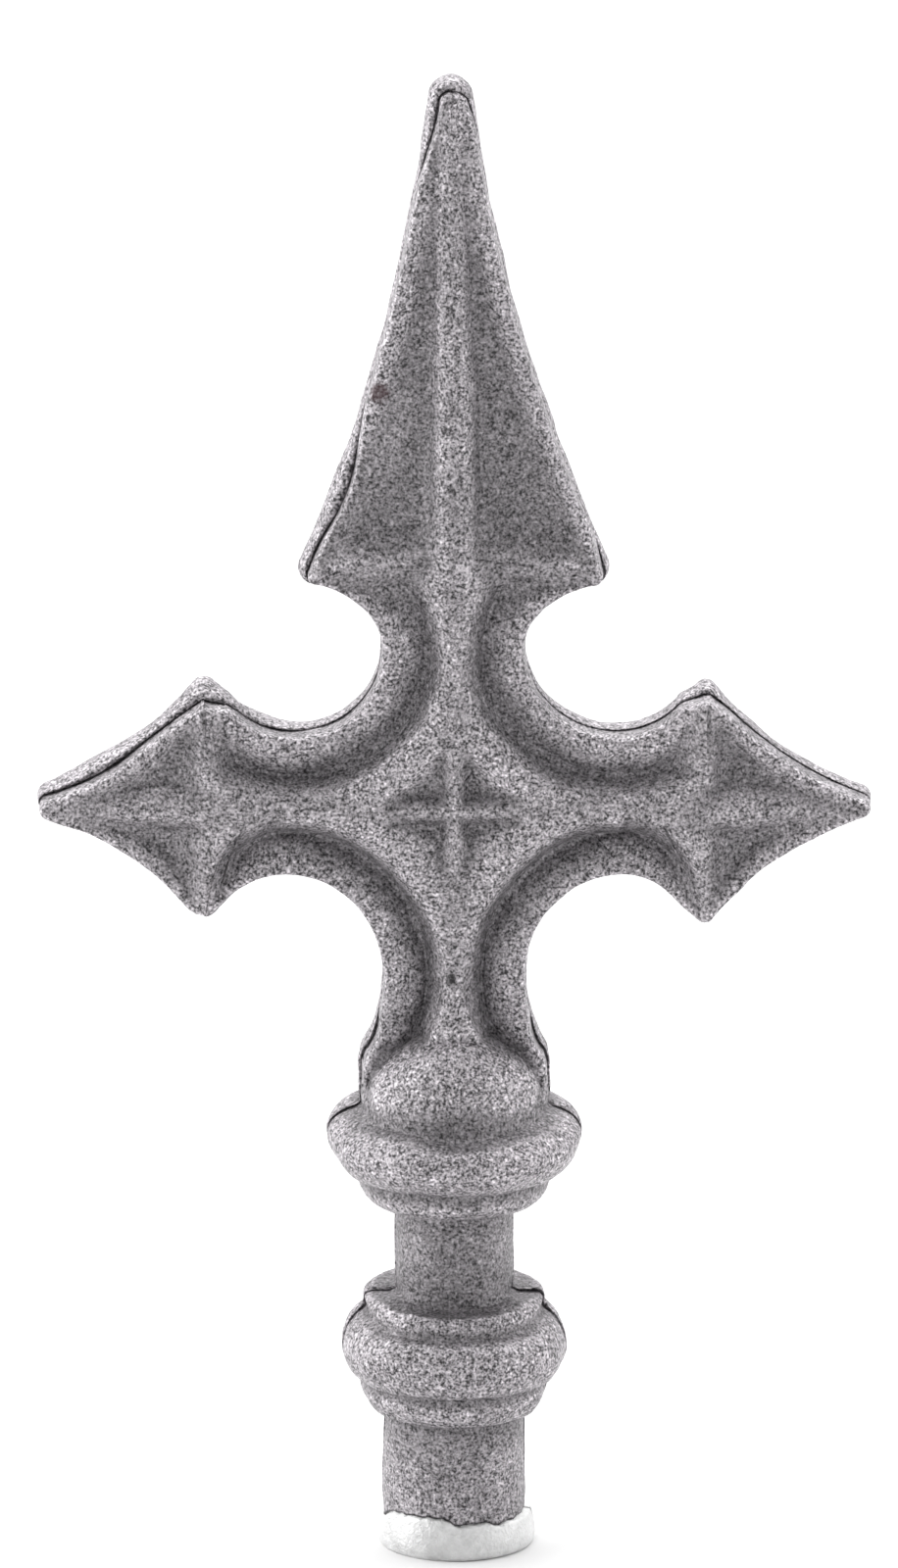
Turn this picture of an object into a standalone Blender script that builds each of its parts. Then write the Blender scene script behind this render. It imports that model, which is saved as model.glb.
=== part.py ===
"""A cast-iron fence spear point: a long blade over a cross of two arrowhead arms, on a stem with two turned collars.

The whole point is one casting. Its head is flat, with the same relief on the front (-Y) and the back (+Y), and its
foot is turned. It stands upright on the cut end of its shank, with the origin in the middle of that end.
"""
import bmesh
import bpy
import numpy as np

MM = 0.001

# Overall heights along the axis of the point
HEIGHT = 200.0 * MM
ARM_AXIS = 102.6 * MM
HEAD_FOOT = 58.0 * MM

# Blade: concave sides, a rounded tip and rounded lower corners
TIP_RADIUS = 3.0 * MM
TIP_TANGENT = 8 * np.pi / 180
SIDE_TANGENT = 23 * np.pi / 180
SIDE_SWEEP = 16.9 * np.pi / 180
CORNER_X = 18.45 * MM
CORNER_Z = 134.2 * MM
CORNER_RADIUS = 2.1 * MM
BLADE_FOOT = 133.5 * MM
RIB_TOP_Z = 198.4 * MM
RIB_SHOULDER_Z = 195.5 * MM
CORNER_FACE_Z = 141.5 * MM
BLADE_FACE_Z = 137.0 * MM

# Upper notch between blade and arm, narrower above its middle than below
NOTCH_Z = 124.3 * MM
NOTCH_TOP_RISE = 7.8 * MM
NOTCH_LOW_X = 21.25 * MM
NOTCH_LOW_RADIUS = 11.6 * MM
STEM_HALF = 9.65 * MM
NOTCH_END = 318 * np.pi / 180

# Arrowhead arm: two barbs, and concave edges that run to a rounded tip
BARB_X = 33.3 * MM
BARB_RISE = 14.4 * MM
BARB_RADIUS = 1.4 * MM
BARB_FACE = 43 * np.pi / 180
ARM_TIP_X = 53.6 * MM
ARM_TIP_RADIUS = 1.7 * MM
ARM_TIP_FACE = 69 * np.pi / 180
ARM_TOP_SWEEP = 28 * np.pi / 180
ARM_LOW_SWEEP = 33 * np.pi / 180
ARM_RIB_END_X = 52.3 * MM
ARM_POLE_X = 54.0 * MM
ARM_RIB_START = 27.0 * MM
BARB_ROOT_X = 29.0 * MM
BARB_KNEE_X = 32.4 * MM
BARB_KNEE_RISE = 4.2 * MM
ARROW_FOOT_X = 34.0 * MM

# Lower notch between arm and stem, and the flare of the stem below it
HOLLOW_X = 22.4 * MM
HOLLOW_Z = 79.0 * MM
HOLLOW_HALF_WIDTH = 12.8 * MM
HOLLOW_RISE = 14.3 * MM
HOLLOW_OUTER_Z = 81.0 * MM
HOLLOW_OUTER_HALF_WIDTH = 11.0 * MM
HOLLOW_OUTER_RISE = 12.3 * MM
HOLLOW_END = 42 * np.pi / 180
FLARE_RADIUS = 19.5 * MM
FLARE_SWEEP = 31 * np.pi / 180
STEM_FOOT_HALF = 12.85 * MM
STEM_FOOT_Z = 67.2 * MM
STEM_FACE_Z = 69.0 * MM
HEAD_FOOT_HALF = 12.4 * MM

# Relief: half thicknesses from the parting plane, and the widths that they are reached in
EDGE_ROUND = 0.8 * MM
RIM = 3.9 * MM
RIM_WIDTH = 3.2 * MM
TIP_RIM = 2.8 * MM
TIP_TAPER_Z = 184.0 * MM
PANEL = 2.8 * MM
CREASE = 2.2 * MM
RIDGE = 6.4 * MM
TIP_RIDGE = 3.6 * MM
ARM_TIP_RIDGE = 3.4 * MM
BARB_RIDGE = 4.1 * MM
BARB_KNEE_RIDGE = 5.2 * MM
BARB_ROOT_RIDGE = 5.9 * MM
FLANK = 1.9
FOOT_FLANK = 0.9
ARM_FLANK = 1.3
UPPER_CREASE_X = 21.15 * MM
UPPER_CREASE_Z = 123.3 * MM
UPPER_CREASE = 17.4 * MM
LOWER_CREASE_X = 18.8 * MM
LOWER_CREASE_RISE = 20.0 * MM
LOWER_CREASE_FALL = 17.5 * MM
RIB_HALF = 2.3 * MM
TIP_RIB_HALF = 1.1 * MM
ARM_RIB_HALF = 1.5 * MM
ARM_TIP_RIB_HALF = 0.8 * MM
BARB_HALF = 0.8 * MM
BARB_KNEE_HALF = 1.0 * MM
BARB_ROOT_HALF = 1.2 * MM
BARB_FLANK = 0.9
FOOT_RIM_HALF = 1.0 * MM
FOOT_RIM_FLANK = 0.8
BLEND = 0.35 * MM
CREST_BLEND = 1.6 * MM
RIDGE_SOFT = 0.9 * MM

# Crossing: a dished diamond with a thin cross standing in it
DISH_HALF_X = 11.4 * MM
DISH_HALF_Z = 10.5 * MM
DISH_DEPTH = 2.7 * MM
DISH_WALL = 0.5
CROSS_HALF = 0.8 * MM
CROSS_DROP = 0.5 * MM
CROSS_FOOT = 2.1 * MM
CROSS_BLEND = 0.8 * MM

# Turned foot: radii and heights of its rounds
DOME_RADIUS = 12.8 * MM
DOME_Z = 62.0 * MM
DOME_RISE = 10.3 * MM
UPPER_RING_X = 11.1 * MM
UPPER_RING_Z = 57.5 * MM
UPPER_RING_WIDTH = 6.1 * MM
UPPER_RING_RISE = 4.1 * MM
UPPER_RING_FALL = 6.2 * MM
UPPER_BEAD_Z = 50.2 * MM
UPPER_BEAD_FALL = 2.9 * MM
NECK_RADIUS = 8.0 * MM
CAP_TOP_Z = 35.6 * MM
CAP_RADIUS = 12.4 * MM
CAP_ROUND = 1.6 * MM
LOWER_RING_X = 8.25 * MM
LOWER_RING_Z = 27.5 * MM
LOWER_RING_WIDTH = 6.95 * MM
LOWER_RING_RISE = 7.1 * MM
LOWER_RING_FALL = 6.0 * MM
LOWER_BEAD_Z = 23.2 * MM
LOWER_BEAD_FALL = 4.8 * MM
SHANK_RADIUS = 9.65 * MM
FOOT_RADIUS = 10.6 * MM
FOOT_RISE = 3.4 * MM
FOOT_ROUND = 0.5 * MM
TURNED_SIDES = 32

IRON_COLOUR = (0.16, 0.16, 0.155, 1.0)


def arc(x, z, half_width, rise, start, end, steps):
    """Points on an ellipse about (x, z) from angle start to angle end, without the last one."""
    turn = np.linspace(start, end, steps + 1)[:-1]
    return np.column_stack([x + half_width * np.cos(turn), z + rise * np.sin(turn)])


def bow(first, last, sweep, steps):
    """Points on a circular arc from first to last that turns to the left by the angle sweep, without the last one."""
    first = np.array(first)
    chord = np.array(last) - first
    reach = 0.5 / np.tan(sweep / 2)
    middle = first + 0.5 * chord + reach * np.array([-chord[1], chord[0]])
    out = first - middle
    turn = np.linspace(0, sweep, steps + 1)[:-1]
    return middle + np.column_stack(
        [out[0] * np.cos(turn) - out[1] * np.sin(turn), out[0] * np.sin(turn) + out[1] * np.cos(turn)]
    )


def straight(first, last, steps):
    """Points on a straight run, without the last one."""
    share = np.linspace(0, 1, steps + 1)[:-1, None]
    return np.array(first) * (1 - share) + np.array(last) * share


def on_circle(x, z, radius, angle):
    """The point of a circle at an angle."""
    return x + radius * np.cos(angle), z + radius * np.sin(angle)


def head_stations():
    """The outline of half the head from its tip to its foot, each point with the point of the ridges that it faces and
    with the length of the run that leaves it square to the edge."""
    right = np.pi / 2
    tip_end = on_circle(0, HEIGHT - TIP_RADIUS, TIP_RADIUS, TIP_TANGENT)
    side_end = on_circle(CORNER_X, CORNER_Z, CORNER_RADIUS, SIDE_TANGENT)
    barb_top = ARM_AXIS + BARB_RISE
    barb_low = ARM_AXIS - BARB_RISE
    notch_end = on_circle(NOTCH_LOW_X, NOTCH_Z, NOTCH_LOW_RADIUS, NOTCH_END)
    barb_in = on_circle(BARB_X, barb_top, BARB_RADIUS, np.pi - BARB_FACE)
    barb_out = on_circle(BARB_X, barb_top, BARB_RADIUS, BARB_FACE)
    arm_end = on_circle(ARM_TIP_X, ARM_AXIS, ARM_TIP_RADIUS, ARM_TIP_FACE)
    low_out = (barb_out[0], 2 * ARM_AXIS - barb_out[1])
    low_in = (barb_in[0], 2 * ARM_AXIS - barb_in[1])
    arm_back = (arm_end[0], 2 * ARM_AXIS - arm_end[1])
    hollow_outer = (HOLLOW_X, HOLLOW_OUTER_Z, HOLLOW_OUTER_HALF_WIDTH, HOLLOW_OUTER_RISE)
    hollow_start = arc(*hollow_outer, HOLLOW_END, right, 1)[0]
    flare_x = STEM_HALF + FLARE_RADIUS
    flare_end = on_circle(flare_x, HOLLOW_Z, FLARE_RADIUS, np.pi + FLARE_SWEEP)
    foot = (HEAD_FOOT_HALF, HEAD_FOOT)

    centre = (0, ARM_AXIS)
    dish_top = (0, ARM_AXIS + DISH_HALF_Z)
    dish_side = (DISH_HALF_X, ARM_AXIS)
    dish_foot = (0, ARM_AXIS - DISH_HALF_Z)
    inner = (ARM_RIB_START, ARM_AXIS)
    barb_root = (BARB_ROOT_X, ARM_AXIS)
    barb_foot = (ARROW_FOOT_X, ARM_AXIS)
    arm_foot = (ARM_RIB_END_X, ARM_AXIS)
    arm_pole = (ARM_POLE_X, ARM_AXIS)
    notch = (NOTCH_LOW_X, NOTCH_Z, NOTCH_LOW_RADIUS, NOTCH_LOW_RADIUS)
    hollow = (HOLLOW_X, HOLLOW_Z, HOLLOW_HALF_WIDTH, HOLLOW_RISE)
    runs = (
        (arc(0, HEIGHT - TIP_RADIUS, TIP_RADIUS, TIP_RADIUS, right, TIP_TANGENT, 3),
         (0, RIB_TOP_Z), (0, RIB_SHOULDER_Z), 1.2 * MM),
        (bow(tip_end, side_end, SIDE_SWEEP, 11), (0, RIB_SHOULDER_Z), (0, CORNER_FACE_Z), 2.4 * MM),
        (arc(CORNER_X, CORNER_Z, CORNER_RADIUS, CORNER_RADIUS, SIDE_TANGENT, -right, 4),
         (0, CORNER_FACE_Z), (0, BLADE_FACE_Z), 1.4 * MM),
        (arc(CORNER_X, NOTCH_Z, CORNER_X - STEM_HALF, NOTCH_TOP_RISE, right, np.pi, 6),
         (0, BLADE_FACE_Z), (0, NOTCH_Z), 3 * MM),
        (arc(*notch, right * 2, right * 2.26, 3), (0, NOTCH_Z), dish_top, 4 * MM),
        (arc(*notch, right * 2.26, right * 2.52, 5), dish_top, centre, 4 * MM),
        (arc(*notch, right * 2.52, right * 2.86, 5), centre, dish_side, 4 * MM),
        (arc(*notch, right * 2.86, NOTCH_END, 5), dish_side, inner, 3 * MM),
        (straight(notch_end, barb_in, 2), inner, barb_root, 1.6 * MM),
        (arc(BARB_X, barb_top, BARB_RADIUS, BARB_RADIUS, np.pi - BARB_FACE, BARB_FACE, 3),
         barb_root, barb_foot, 1.0 * MM),
        (bow(barb_out, arm_end, ARM_TOP_SWEEP, 6), barb_foot, arm_foot, 1.4 * MM),
        (arc(ARM_TIP_X, ARM_AXIS, ARM_TIP_RADIUS, ARM_TIP_RADIUS, ARM_TIP_FACE, 0, 2), arm_foot, arm_pole, 0.8 * MM),
        (arc(ARM_TIP_X, ARM_AXIS, ARM_TIP_RADIUS, ARM_TIP_RADIUS, 0, -ARM_TIP_FACE, 2), arm_pole, arm_foot, 0.8 * MM),
        (bow(arm_back, low_out, ARM_LOW_SWEEP, 6), arm_foot, barb_foot, 1.4 * MM),
        (arc(BARB_X, barb_low, BARB_RADIUS, BARB_RADIUS, -BARB_FACE, BARB_FACE - np.pi, 3),
         barb_foot, barb_root, 1.0 * MM),
        (straight(low_in, hollow_start, 2), barb_root, inner, 1.6 * MM),
        (arc(*hollow_outer, HOLLOW_END, right, 5), inner, dish_side, 3 * MM),
        (arc(*hollow, right, right * 1.48, 5), dish_side, centre, 4 * MM),
        (arc(*hollow, right * 1.48, right * 1.78, 5), centre, dish_foot, 4 * MM),
        (arc(*hollow, right * 1.78, np.pi, 3), dish_foot, (0, HOLLOW_Z), 4 * MM),
        (arc(flare_x, HOLLOW_Z, FLARE_RADIUS, FLARE_RADIUS, np.pi, np.pi + FLARE_SWEEP, 4),
         (0, HOLLOW_Z), (0, STEM_FACE_Z), 4 * MM),
        (straight(flare_end, (STEM_FOOT_HALF, STEM_FOOT_Z), 1), (0, STEM_FACE_Z), (0, STEM_FOOT_Z), 3 * MM),
        (straight((STEM_FOOT_HALF, STEM_FOOT_Z), foot, 2), (0, STEM_FOOT_Z), (0, HEAD_FOOT), 3 * MM),
    )
    outline = [np.vstack([run[0] for run in runs]), [foot]]
    facing = [np.vstack([straight(run[1], run[2], len(run[0])) for run in runs]), [(0, HEAD_FOOT)]]
    square = np.concatenate([np.full(len(run[0]), run[3]) for run in runs] + [[3 * MM]])
    return np.vstack(outline), np.vstack(facing), square


def reach(values, level, along, otherwise):
    """Distance along each run at which its values first fall to a level, or otherwise where they never do."""
    low = values <= level
    first = along[np.arange(len(along)), low.argmax(1)]
    return np.where(low.any(1), first, otherwise)


def row_places(run, along, blade):
    """Distances of the lengthwise rows from the edge, on runs of points with their distances. blade is 1 where the run
    crosses a panel to a rib, and 0 where it crosses a notch's channel to a ridge, or to the dish of the crossing."""
    length = along[:, -1]
    rim = [0 * length, 0.2 * EDGE_ROUND + 0 * length, 0.9 * EDGE_ROUND + 0 * length]
    foot = length - 3.8 * MM
    start = 2.6 * MM + 0 * length
    panel = [start, 0.7 * start + 0.3 * foot, 0.35 * start + 0.65 * foot, foot, length - 3.0 * MM, length - 2.1 * MM,
             length - 0.9 * MM, length]
    x = run[:, :, 0]
    rise = np.abs(run[:, :, 1] - ARM_AXIS)
    size = x / DISH_HALF_X + rise / DISH_HALF_Z
    channel = [3.6 * MM + 0 * length, 5.9 * MM + 0 * length, 8.1 * MM + 0 * length,
               reach(size, 1, along, 0.64 * length), reach(size, 1 - DISH_WALL, along, 0.76 * length),
               reach(np.minimum(x, rise), CROSS_FOOT, along, 0.88 * length),
               reach(np.minimum(x, rise), CROSS_HALF, along, 0.94 * length), length]
    wide = np.sort(np.column_stack(rim + [blade * p + (1 - blade) * c for p, c in zip(panel, channel)]), axis=1)
    narrow = length[:, None] * np.array([0, 0.06, 0.2, 0.32, 0.44, 0.54, 0.64, 0.73, 0.82, 0.91, 1])
    room = np.clip((length - 8 * MM) / (3 * MM), 0, 1)[:, None]
    gaps = np.maximum(np.diff(room * wide + (1 - room) * narrow, axis=1), 0.02 * length[:, None])
    places = np.cumsum(gaps, axis=1) * (length / gaps.sum(1))[:, None]
    return np.column_stack([0 * length, places])


def edge_distance(points, outline):
    """Shortest distance from each point to the outline's straight pieces."""
    start = outline[:-1]
    step = outline[1:] - start
    out = points[:, None, :] - start
    along = np.clip((out * step).sum(2) / (step * step).sum(1), 0, 1)
    return np.linalg.norm(out - along[..., None] * step, axis=2).min(1)


def beyond_oval(x, z, middle_x, middle_z, half_width, rise):
    """Distance outside an ellipse, less than zero inside it."""
    reach = np.hypot((x - middle_x) / half_width, (z - middle_z) / rise)
    return (reach - 1) * 0.5 * (half_width + rise)


def smooth_max(a, b, blend=BLEND):
    """The larger of two heights, with the valley between them rounded by blend."""
    return 0.5 * (a + b + np.hypot(a - b, blend))


def smooth_min(a, b, blend):
    """The smaller of two heights, with the crest between them rounded by blend."""
    return 0.5 * (a + b - np.hypot(a - b, blend))


def softened(distance):
    """A distance, or nearly nothing where it is below zero, with a round change between the two."""
    return 0.5 * (distance + np.hypot(distance, RIDGE_SOFT))


def ridge(x, z, first, last, top, half_width, slope):
    """Height of a ridge along a straight line, which falls off to its sides from a softened shoulder. top and half_width
    are pairs for its ends."""
    step = np.array(last) - np.array(first)
    share = np.clip(((x - first[0]) * step[0] + (z - first[1]) * step[1]) / (step @ step), 0, 1)
    away = np.hypot(x - first[0] - share * step[0], z - first[1] - share * step[1])
    flat = half_width[0] + (half_width[1] - half_width[0]) * share
    return top[0] + (top[1] - top[0]) * share - slope * softened(away - flat)


def edge_share(edge):
    """Share of the full thickness at a distance from the outline: a steep side wall that turns over at its top."""
    return np.cbrt(1 - (1 - np.clip(edge / EDGE_ROUND, 0, 1)) ** 3)


def relief(x, z, edge):
    """Half thickness of the head at (x, z), where edge is the distance from the outline."""
    rise = np.abs(z - ARM_AXIS)
    rim_share = np.clip((edge - EDGE_ROUND) / (RIM_WIDTH - EDGE_ROUND), 0, 1)
    rim = RIM - (RIM - TIP_RIM) * np.clip((z - TIP_TAPER_Z) / (HEIGHT - TIP_TAPER_Z), 0, 1)
    panel = rim - (rim - PANEL) * rim_share * rim_share * (3 - 2 * rim_share)

    # Channels round the notches, and the ridges between them
    upper = beyond_oval(x, z, UPPER_CREASE_X, UPPER_CREASE_Z, UPPER_CREASE, UPPER_CREASE)
    crease_rise = np.where(z > HOLLOW_Z, LOWER_CREASE_RISE, LOWER_CREASE_FALL)
    lower = beyond_oval(x, z, HOLLOW_X, HOLLOW_Z, LOWER_CREASE_X, crease_rise)
    outside = np.minimum(upper, lower)
    across = np.clip((edge - EDGE_ROUND) / np.maximum(edge - EDGE_ROUND - outside, 0.1 * MM), 0, 1)
    arm_share = np.clip((x - DISH_HALF_X) / (BARB_ROOT_X - DISH_HALF_X), 0, 1)
    flare = np.clip((z - UPPER_CREASE_Z) / (BLADE_FOOT - UPPER_CREASE_Z), 0, 1)
    crest = RIDGE - (RIDGE - BARB_ROOT_RIDGE) * arm_share - FOOT_FLANK * flare * np.maximum(x - RIB_HALF, 0)
    crease = smooth_min(CREASE, crest, CREST_BLEND)
    channel = RIM - (RIM - crease) * across ** 1.5
    body = np.where(outside > 0, smooth_min(CREASE + FLANK * outside, crest, CREST_BLEND), channel)

    # Crossing
    size = x / DISH_HALF_X + rise / DISH_HALF_Z
    wall = np.clip((1 - size) / DISH_WALL, 0, 1)
    dish = RIDGE - DISH_DEPTH * wall * (2 - wall)
    cross = RIDGE - CROSS_DROP - FLANK * softened(np.minimum(x, rise) - CROSS_HALF)
    body = np.minimum(body, smooth_max(dish, cross, CROSS_BLEND))

    # Blade, arrowheads and the ridges that edge them
    flank = FOOT_FLANK + (FLANK - FOOT_FLANK) * np.clip((z - BLADE_FOOT) / (4 * MM), 0, 1)
    rib = ridge(x, z, (0, BLADE_FOOT), (0, HEIGHT), (RIDGE, TIP_RIDGE), (RIB_HALF, TIP_RIB_HALF), flank)
    arm_rib = ridge(x, rise, (ARM_RIB_START, 0), (ARM_TIP_X, 0), (BARB_ROOT_RIDGE, ARM_TIP_RIDGE),
                    (ARM_RIB_HALF, ARM_TIP_RIB_HALF), ARM_FLANK)
    barb_line = np.interp(rise, [0, BARB_KNEE_RISE, BARB_RISE], [BARB_ROOT_X, BARB_KNEE_X, BARB_X])
    height = np.where(x > barb_line, smooth_max(panel, arm_rib), body)
    blade_share = np.clip((z - BLADE_FOOT) / MM + 0.5, 0, 1)
    height = height + (smooth_max(panel, rib) - height) * blade_share
    foot_rim = ridge(x, z, (0, BLADE_FOOT), (CORNER_X, BLADE_FOOT), (RIM, RIM), (FOOT_RIM_HALF, FOOT_RIM_HALF),
                     FOOT_RIM_FLANK)
    knee = (BARB_KNEE_X, BARB_KNEE_RISE)
    barb = ridge(x, rise, (BARB_X, BARB_RISE), knee, (BARB_RIDGE, BARB_KNEE_RIDGE), (BARB_HALF, BARB_KNEE_HALF),
                 BARB_FLANK)
    root = ridge(x, rise, knee, (BARB_ROOT_X, 0), (BARB_KNEE_RIDGE, BARB_ROOT_RIDGE),
                 (BARB_KNEE_HALF, BARB_ROOT_HALF), BARB_FLANK)
    height = smooth_max(smooth_max(height, foot_rim), np.maximum(barb, root))
    return height * edge_share(edge)


def head_rows():
    """Points of the front right quarter of the head: a row of points for each station of the outline, from the edge to
    the ridges, and the half thickness at each of them."""
    outline, facing, square = head_stations()
    ahead = np.roll(outline, -1, 0) - np.roll(outline, 1, 0)
    ahead[0] = (1, 0)
    ahead[-1] = outline[-1] - outline[-2]
    inward = np.column_stack([ahead[:, 1], -ahead[:, 0]]) / np.linalg.norm(ahead, axis=1)[:, None]
    control = outline + inward * square[:, None]
    t = np.linspace(0, 1, 161)[None, :, None]
    run = (1 - t) ** 2 * outline[:, None] + 2 * t * (1 - t) * control[:, None] + t * t * facing[:, None]
    along = np.cumsum(np.linalg.norm(np.diff(run, axis=1, prepend=run[:, :1]), axis=2), axis=1)
    blade = np.interp(outline[:, 1], [NOTCH_Z + 6 * MM, CORNER_Z], [0, 1])
    arrowhead = np.interp(outline[:, 0], [BARB_ROOT_X, ARROW_FOOT_X], [0, 1])
    wanted = row_places(run, along, np.maximum(blade, arrowhead))
    rows = np.array([
        np.column_stack([np.interp(w, a, r[:, 0]), np.interp(w, a, r[:, 1])]) for w, a, r in zip(wanted, along, run)
    ])
    flat = rows.reshape(-1, 2)
    depth = relief(flat[:, 0], flat[:, 1], edge_distance(flat, outline)).reshape(rows.shape[:2])
    depth[:, 0] = 0
    return rows, depth


def make_head(collection, material):
    """The flat head as one closed solid, mirrored from its front right quarter."""
    rows, depth = head_rows()
    mesh = bmesh.new()
    grid = [[mesh.verts.new((p[0], -d, p[1])) for p, d in zip(row, deep)] for row, deep in zip(rows, depth)]
    for low, high in zip(grid, grid[1:]):
        for a, b, c, d in zip(low, low[1:], high[1:], high):
            mesh.faces.new((a, b, c, d))
    foot_middle = mesh.verts.new((0, 0, HEAD_FOOT))
    mesh.faces.new(grid[-1] + [foot_middle])
    bmesh.ops.remove_doubles(mesh, verts=mesh.verts, dist=0.001 * MM)
    bmesh.ops.triangulate(mesh, faces=mesh.faces)
    data = bpy.data.meshes.new("spear_point")
    mesh.to_mesh(data)
    mesh.free()
    data.materials.append(material)
    head = bpy.data.objects.new("spear_point", data)
    collection.objects.link(head)
    mirror = head.modifiers.new("both sides and both faces", "MIRROR")
    mirror.use_axis = (True, True, False)
    mirror.use_clip = True
    mirror.merge_threshold = 0.001 * MM
    return head


def turned_profile():
    """Radii and heights down the outer side of the turned foot, from the top of its dome to the middle of its cut end."""
    right = np.pi / 2
    upper_middle = (UPPER_RING_X, UPPER_RING_Z)
    lower_middle = (LOWER_RING_X, LOWER_RING_Z)
    upper_turn = np.arccos((DOME_RADIUS - UPPER_RING_X) / UPPER_RING_WIDTH)
    cap_turn = np.arccos((CAP_RADIUS - LOWER_RING_X) / LOWER_RING_WIDTH)
    lower_turn = np.arccos((DOME_RADIUS - LOWER_RING_X) / LOWER_RING_WIDTH)
    parts = (
        arc(0, DOME_Z, DOME_RADIUS, DOME_RISE, right, 0, 5),
        arc(*upper_middle, UPPER_RING_WIDTH, UPPER_RING_RISE, upper_turn, 0, 4),
        arc(*upper_middle, UPPER_RING_WIDTH, UPPER_RING_FALL, 0, -upper_turn, 5),
        arc(NECK_RADIUS, UPPER_BEAD_Z, DOME_RADIUS - NECK_RADIUS, UPPER_BEAD_FALL, 0, -right, 4),
        [(NECK_RADIUS, UPPER_BEAD_Z - UPPER_BEAD_FALL), (NECK_RADIUS, CAP_TOP_Z)],
        arc(CAP_RADIUS - CAP_ROUND, CAP_TOP_Z - CAP_ROUND, CAP_ROUND, CAP_ROUND, right, 0, 3),
        arc(*lower_middle, LOWER_RING_WIDTH, LOWER_RING_RISE, cap_turn, 0, 4),
        arc(*lower_middle, LOWER_RING_WIDTH, LOWER_RING_FALL, 0, -lower_turn, 4),
        arc(SHANK_RADIUS, LOWER_BEAD_Z, DOME_RADIUS - SHANK_RADIUS, LOWER_BEAD_FALL, 0, -right, 4),
        [(SHANK_RADIUS, LOWER_BEAD_Z - LOWER_BEAD_FALL), (SHANK_RADIUS, FOOT_RISE + FOOT_ROUND),
         (FOOT_RADIUS - FOOT_ROUND, FOOT_RISE), (FOOT_RADIUS, FOOT_RISE - FOOT_ROUND), (FOOT_RADIUS, FOOT_ROUND),
         (FOOT_RADIUS - FOOT_ROUND, 0), (0, 0)],
    )
    return np.vstack(parts)


def make_foot(collection):
    """The turned foot: dome, upper collar, neck, lower collar and shank, screwed round from one profile."""
    data = bpy.data.meshes.new("turned foot")
    profile = turned_profile()
    data.from_pydata([(r, 0, z) for r, z in profile], [(i, i + 1) for i in range(len(profile) - 1)], [])
    foot = bpy.data.objects.new("turned foot", data)
    collection.objects.link(foot)
    turn = foot.modifiers.new("turn", "SCREW")
    turn.steps = TURNED_SIDES
    turn.render_steps = TURNED_SIDES
    turn.use_merge_vertices = True
    turn.merge_threshold = 0.001 * MM
    foot.hide_render = True
    foot.display_type = "WIRE"
    return foot


def make_iron():
    """Dull grey cast iron."""
    iron = bpy.data.materials.new("cast iron")
    iron.use_nodes = True
    shader = iron.node_tree.nodes["Principled BSDF"]
    shader.inputs["Base Color"].default_value = IRON_COLOUR
    shader.inputs["Metallic"].default_value = 0.8
    shader.inputs["Roughness"].default_value = 0.55
    return iron


for old in list(bpy.data.objects):
    bpy.data.objects.remove(old)

part = bpy.data.collections.new("fence spear point")
guides = bpy.data.collections.new("cutters")
bpy.context.scene.collection.children.link(part)
bpy.context.scene.collection.children.link(guides)
spear = make_head(part, make_iron())
join = spear.modifiers.new("foot", "BOOLEAN")
join.operation = "UNION"
join.solver = "EXACT"
join.object = make_foot(guides)
spear.data.shade_smooth()
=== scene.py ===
import bmesh
import bpy
import numpy as np
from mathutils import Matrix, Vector


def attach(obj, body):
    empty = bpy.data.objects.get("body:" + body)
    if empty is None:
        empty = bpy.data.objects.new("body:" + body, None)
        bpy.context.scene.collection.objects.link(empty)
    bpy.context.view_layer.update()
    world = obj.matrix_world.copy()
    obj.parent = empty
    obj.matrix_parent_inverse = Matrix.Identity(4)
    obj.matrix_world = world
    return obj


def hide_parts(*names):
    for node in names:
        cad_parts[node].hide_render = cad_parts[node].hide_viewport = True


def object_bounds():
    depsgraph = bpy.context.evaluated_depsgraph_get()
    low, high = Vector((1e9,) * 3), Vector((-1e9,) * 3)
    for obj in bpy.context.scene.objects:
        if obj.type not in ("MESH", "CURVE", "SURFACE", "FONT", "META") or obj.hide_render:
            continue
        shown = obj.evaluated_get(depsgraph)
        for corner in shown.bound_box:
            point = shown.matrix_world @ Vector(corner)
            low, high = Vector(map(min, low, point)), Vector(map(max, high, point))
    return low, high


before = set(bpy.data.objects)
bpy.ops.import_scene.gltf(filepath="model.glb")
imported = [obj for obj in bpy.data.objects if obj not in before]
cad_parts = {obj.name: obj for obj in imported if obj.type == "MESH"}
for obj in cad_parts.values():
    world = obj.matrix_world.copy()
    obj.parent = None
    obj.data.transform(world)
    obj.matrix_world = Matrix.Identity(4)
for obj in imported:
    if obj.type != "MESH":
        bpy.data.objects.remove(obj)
cad_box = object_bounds()

# The spear point. One grey iron casting, made in a two-part sand mould whose halves meet in the plane of its
# arms: the rear half stands out a little past the front half, with a dark crevice between them. Its skin
# keeps the grain of the sand, and the foot of its shank is cut off square and brushed bare.
MM = 0.001
# How many pieces each step of a curve in the outline is split into
FINE = 5

# Overall sizes from the frame, to 0.01 mm: half the width and depth over all, and the height. Then the height
# of the arms' axis.
HALF_WIDTH, HALF_DEPTH, HEIGHT = np.round(cad_box[1], 5)
ARM_AXIS = 102.6 * MM

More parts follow.
